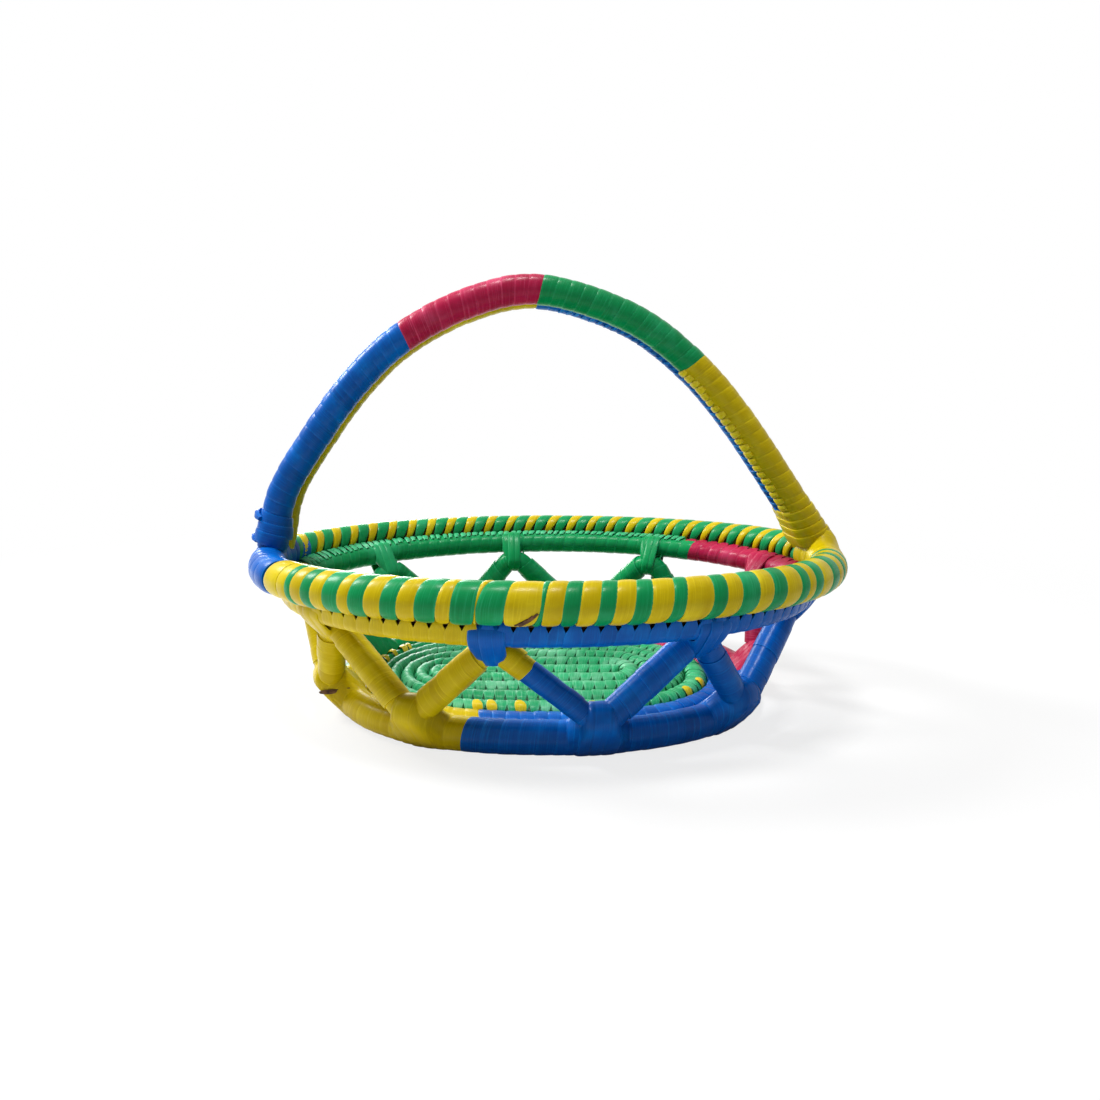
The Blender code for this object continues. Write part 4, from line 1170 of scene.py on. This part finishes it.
def handle_middle(place):
    """A smooth curve through the points, one to a whole number.

    Each stretch is a cubic whose ends point along the line between the neighbours on either side.
    """
    before_first = 2 * HANDLE_SHAPE[:1] - HANDLE_SHAPE[1:2]
    after_last = 2 * HANDLE_SHAPE[-1:] - HANDLE_SHAPE[-2:-1]
    knots = np.concatenate([before_first, HANDLE_SHAPE, after_last])
    number = np.clip(np.floor(place).astype(int), 0, len(HANDLE_SHAPE) - 2)
    t = (place - number)[:, None]
    before, here, there, after = (knots[number + k] for k in range(4))
    shares = (
        2 * here + (there - before) * t + (2 * before - 5 * here + 4 * there - after) * t**2
        + (3 * here - before - 3 * there + after) * t**3
    ) / 2
    x = shares[:, 0] * RIM_HALF_LENGTH
    z = HANDLE_FOOT + shares[:, 1] * HANDLE_HEIGHT
    return np.stack([x, HANDLE_SET_BACK + x * tan(HANDLE_YAW), z], axis=1)


PLACES = np.linspace(-0.22, 11.22, 1201)
MIDDLE = handle_middle(PLACES)
handle_strands = {
    side: Strand(MIDDLE + towards * HANDLE_OFFSET * HANDLE_BACKWARD, HANDLE_BACKWARD, PLACES)
    for side, towards in (("front", -1), ("back", 1))
}

# %% The handle's strips
HANDLE_COLOURS = {
    "front": (("blue", -0.2, 4), ("red", 4, 6), ("green", 6, 8), ("yellow", 8, 11.2)),
    "back": (("yellow", -0.2, 6), ("blue", 6, 11.2)),
}
HANDLE_PITCH = 0.0065
STITCH_PITCH = 0.0042
for side, strand in handle_strands.items():
    for colour, first, last in HANDLE_COLOURS[side]:
        begin, end = (np.interp(place, strand.angles, strand.lengths) for place in (first, last))
        winding(
            f"handle_{side}_strip_{colour}", colour, strand.skin,
            np.round(begin / HANDLE_PITCH) + 0.25, np.round(end / HANDLE_PITCH) + 0.25,
            even_edges(0, HANDLE_PITCH, slide=0.2, overlap=1.14), steady(HANDLE_RADIUS - 0.00015, seed=15),
            f"handle_{side}_{colour}", crown=0.0003, lap=0.0002,
        )


def both_coils(strand):
    """Skin round both coils of the handle. The back one lies two offsets behind the front one."""

    def skin(length, roll, radius):
        point, _, upward, turned = strand.around(length, roll)
        side = (1 + np.clip(4 * np.sin(roll), -1, 1)) / 2
        return point + (2 * HANDLE_OFFSET * side)[..., None] * upward + radius[..., None] * turned

    return skin


def between(strand, first, last, pitch):
    """Lengths one pitch apart between two places of the handle's curve."""
    begin, end = np.interp((first, last), strand.angles, strand.lengths)
    return np.arange(begin, end, pitch)


front_coil, back_coil = handle_strands["front"], handle_strands["back"]
small_stitches(
    "handle_stitches_yellow", "stitch_yellow_painted_highlight", front_coil.skin,
    between(front_coil, 8.05, 10.35, STITCH_PITCH), (radians(150), radians(222)),
    0.0020, HANDLE_RADIUS - 0.0002, seed=35,
)
small_stitches(
    "handle_knots", "blue", front_coil.skin,
    np.interp((0.06, 0.52), front_coil.angles, front_coil.lengths), (-0.75, 0.6),
    0.0019, HANDLE_RADIUS + 0.0004, slant=0.003, hump=0.0012, thickness=0.0016, seed=37,
)
small_stitches(
    "handle_stitches_blue", "stitch_blue_painted_highlight", back_coil.skin,
    between(back_coil, 6.3, 10.35, STITCH_PITCH), (radians(190), radians(238)),
    0.0010, HANDLE_RADIUS - 0.0002, slant=0.003, seed=36,
)

# %% [markdown]
# Just above the rim a strip binds the handle. On the right it goes round both coils, on the left round the
# front one only, and the yellow coil shows down to the rim. The turns swell a little towards the rim.

# %% Bindings above the rim
for side, colour, skin, middle_place, turns, downward in (
    ("left", "blue", front_coil.skin, 0.33, 3, -1),
    ("right", "yellow", both_coils(front_coil), 10.6, 5, 1),
):
    middle = np.interp(middle_place, front_coil.angles, front_coil.lengths)
    winding(
        f"handle_tie_{side}", colour, skin, -turns / 2, turns / 2,
        even_edges(middle, 0.0048, slide=0.3, overlap=1.3),
        lambda turn, place: HANDLE_RADIUS + 0.0002 + 0.0021 * (0.5 + downward * turn / turns)
        + 0.0001 * wobble(turn * 2, 21),
        f"handle_binding_{side}", steps=28, tuck=0.002, crown=0.0003,
    )

# %% Sizes and finish
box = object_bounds()
lists = [[list(corner) for corner in pair] for pair in (cad_box, box)]
for name, (low, high) in (("CAD", lists[0]), ("visual", lists[1])):
    print(name, [round((b - a) * 1000, 1) for a, b in zip(low, high)], "mm, lowest", round(low[2] * 1000, 2))
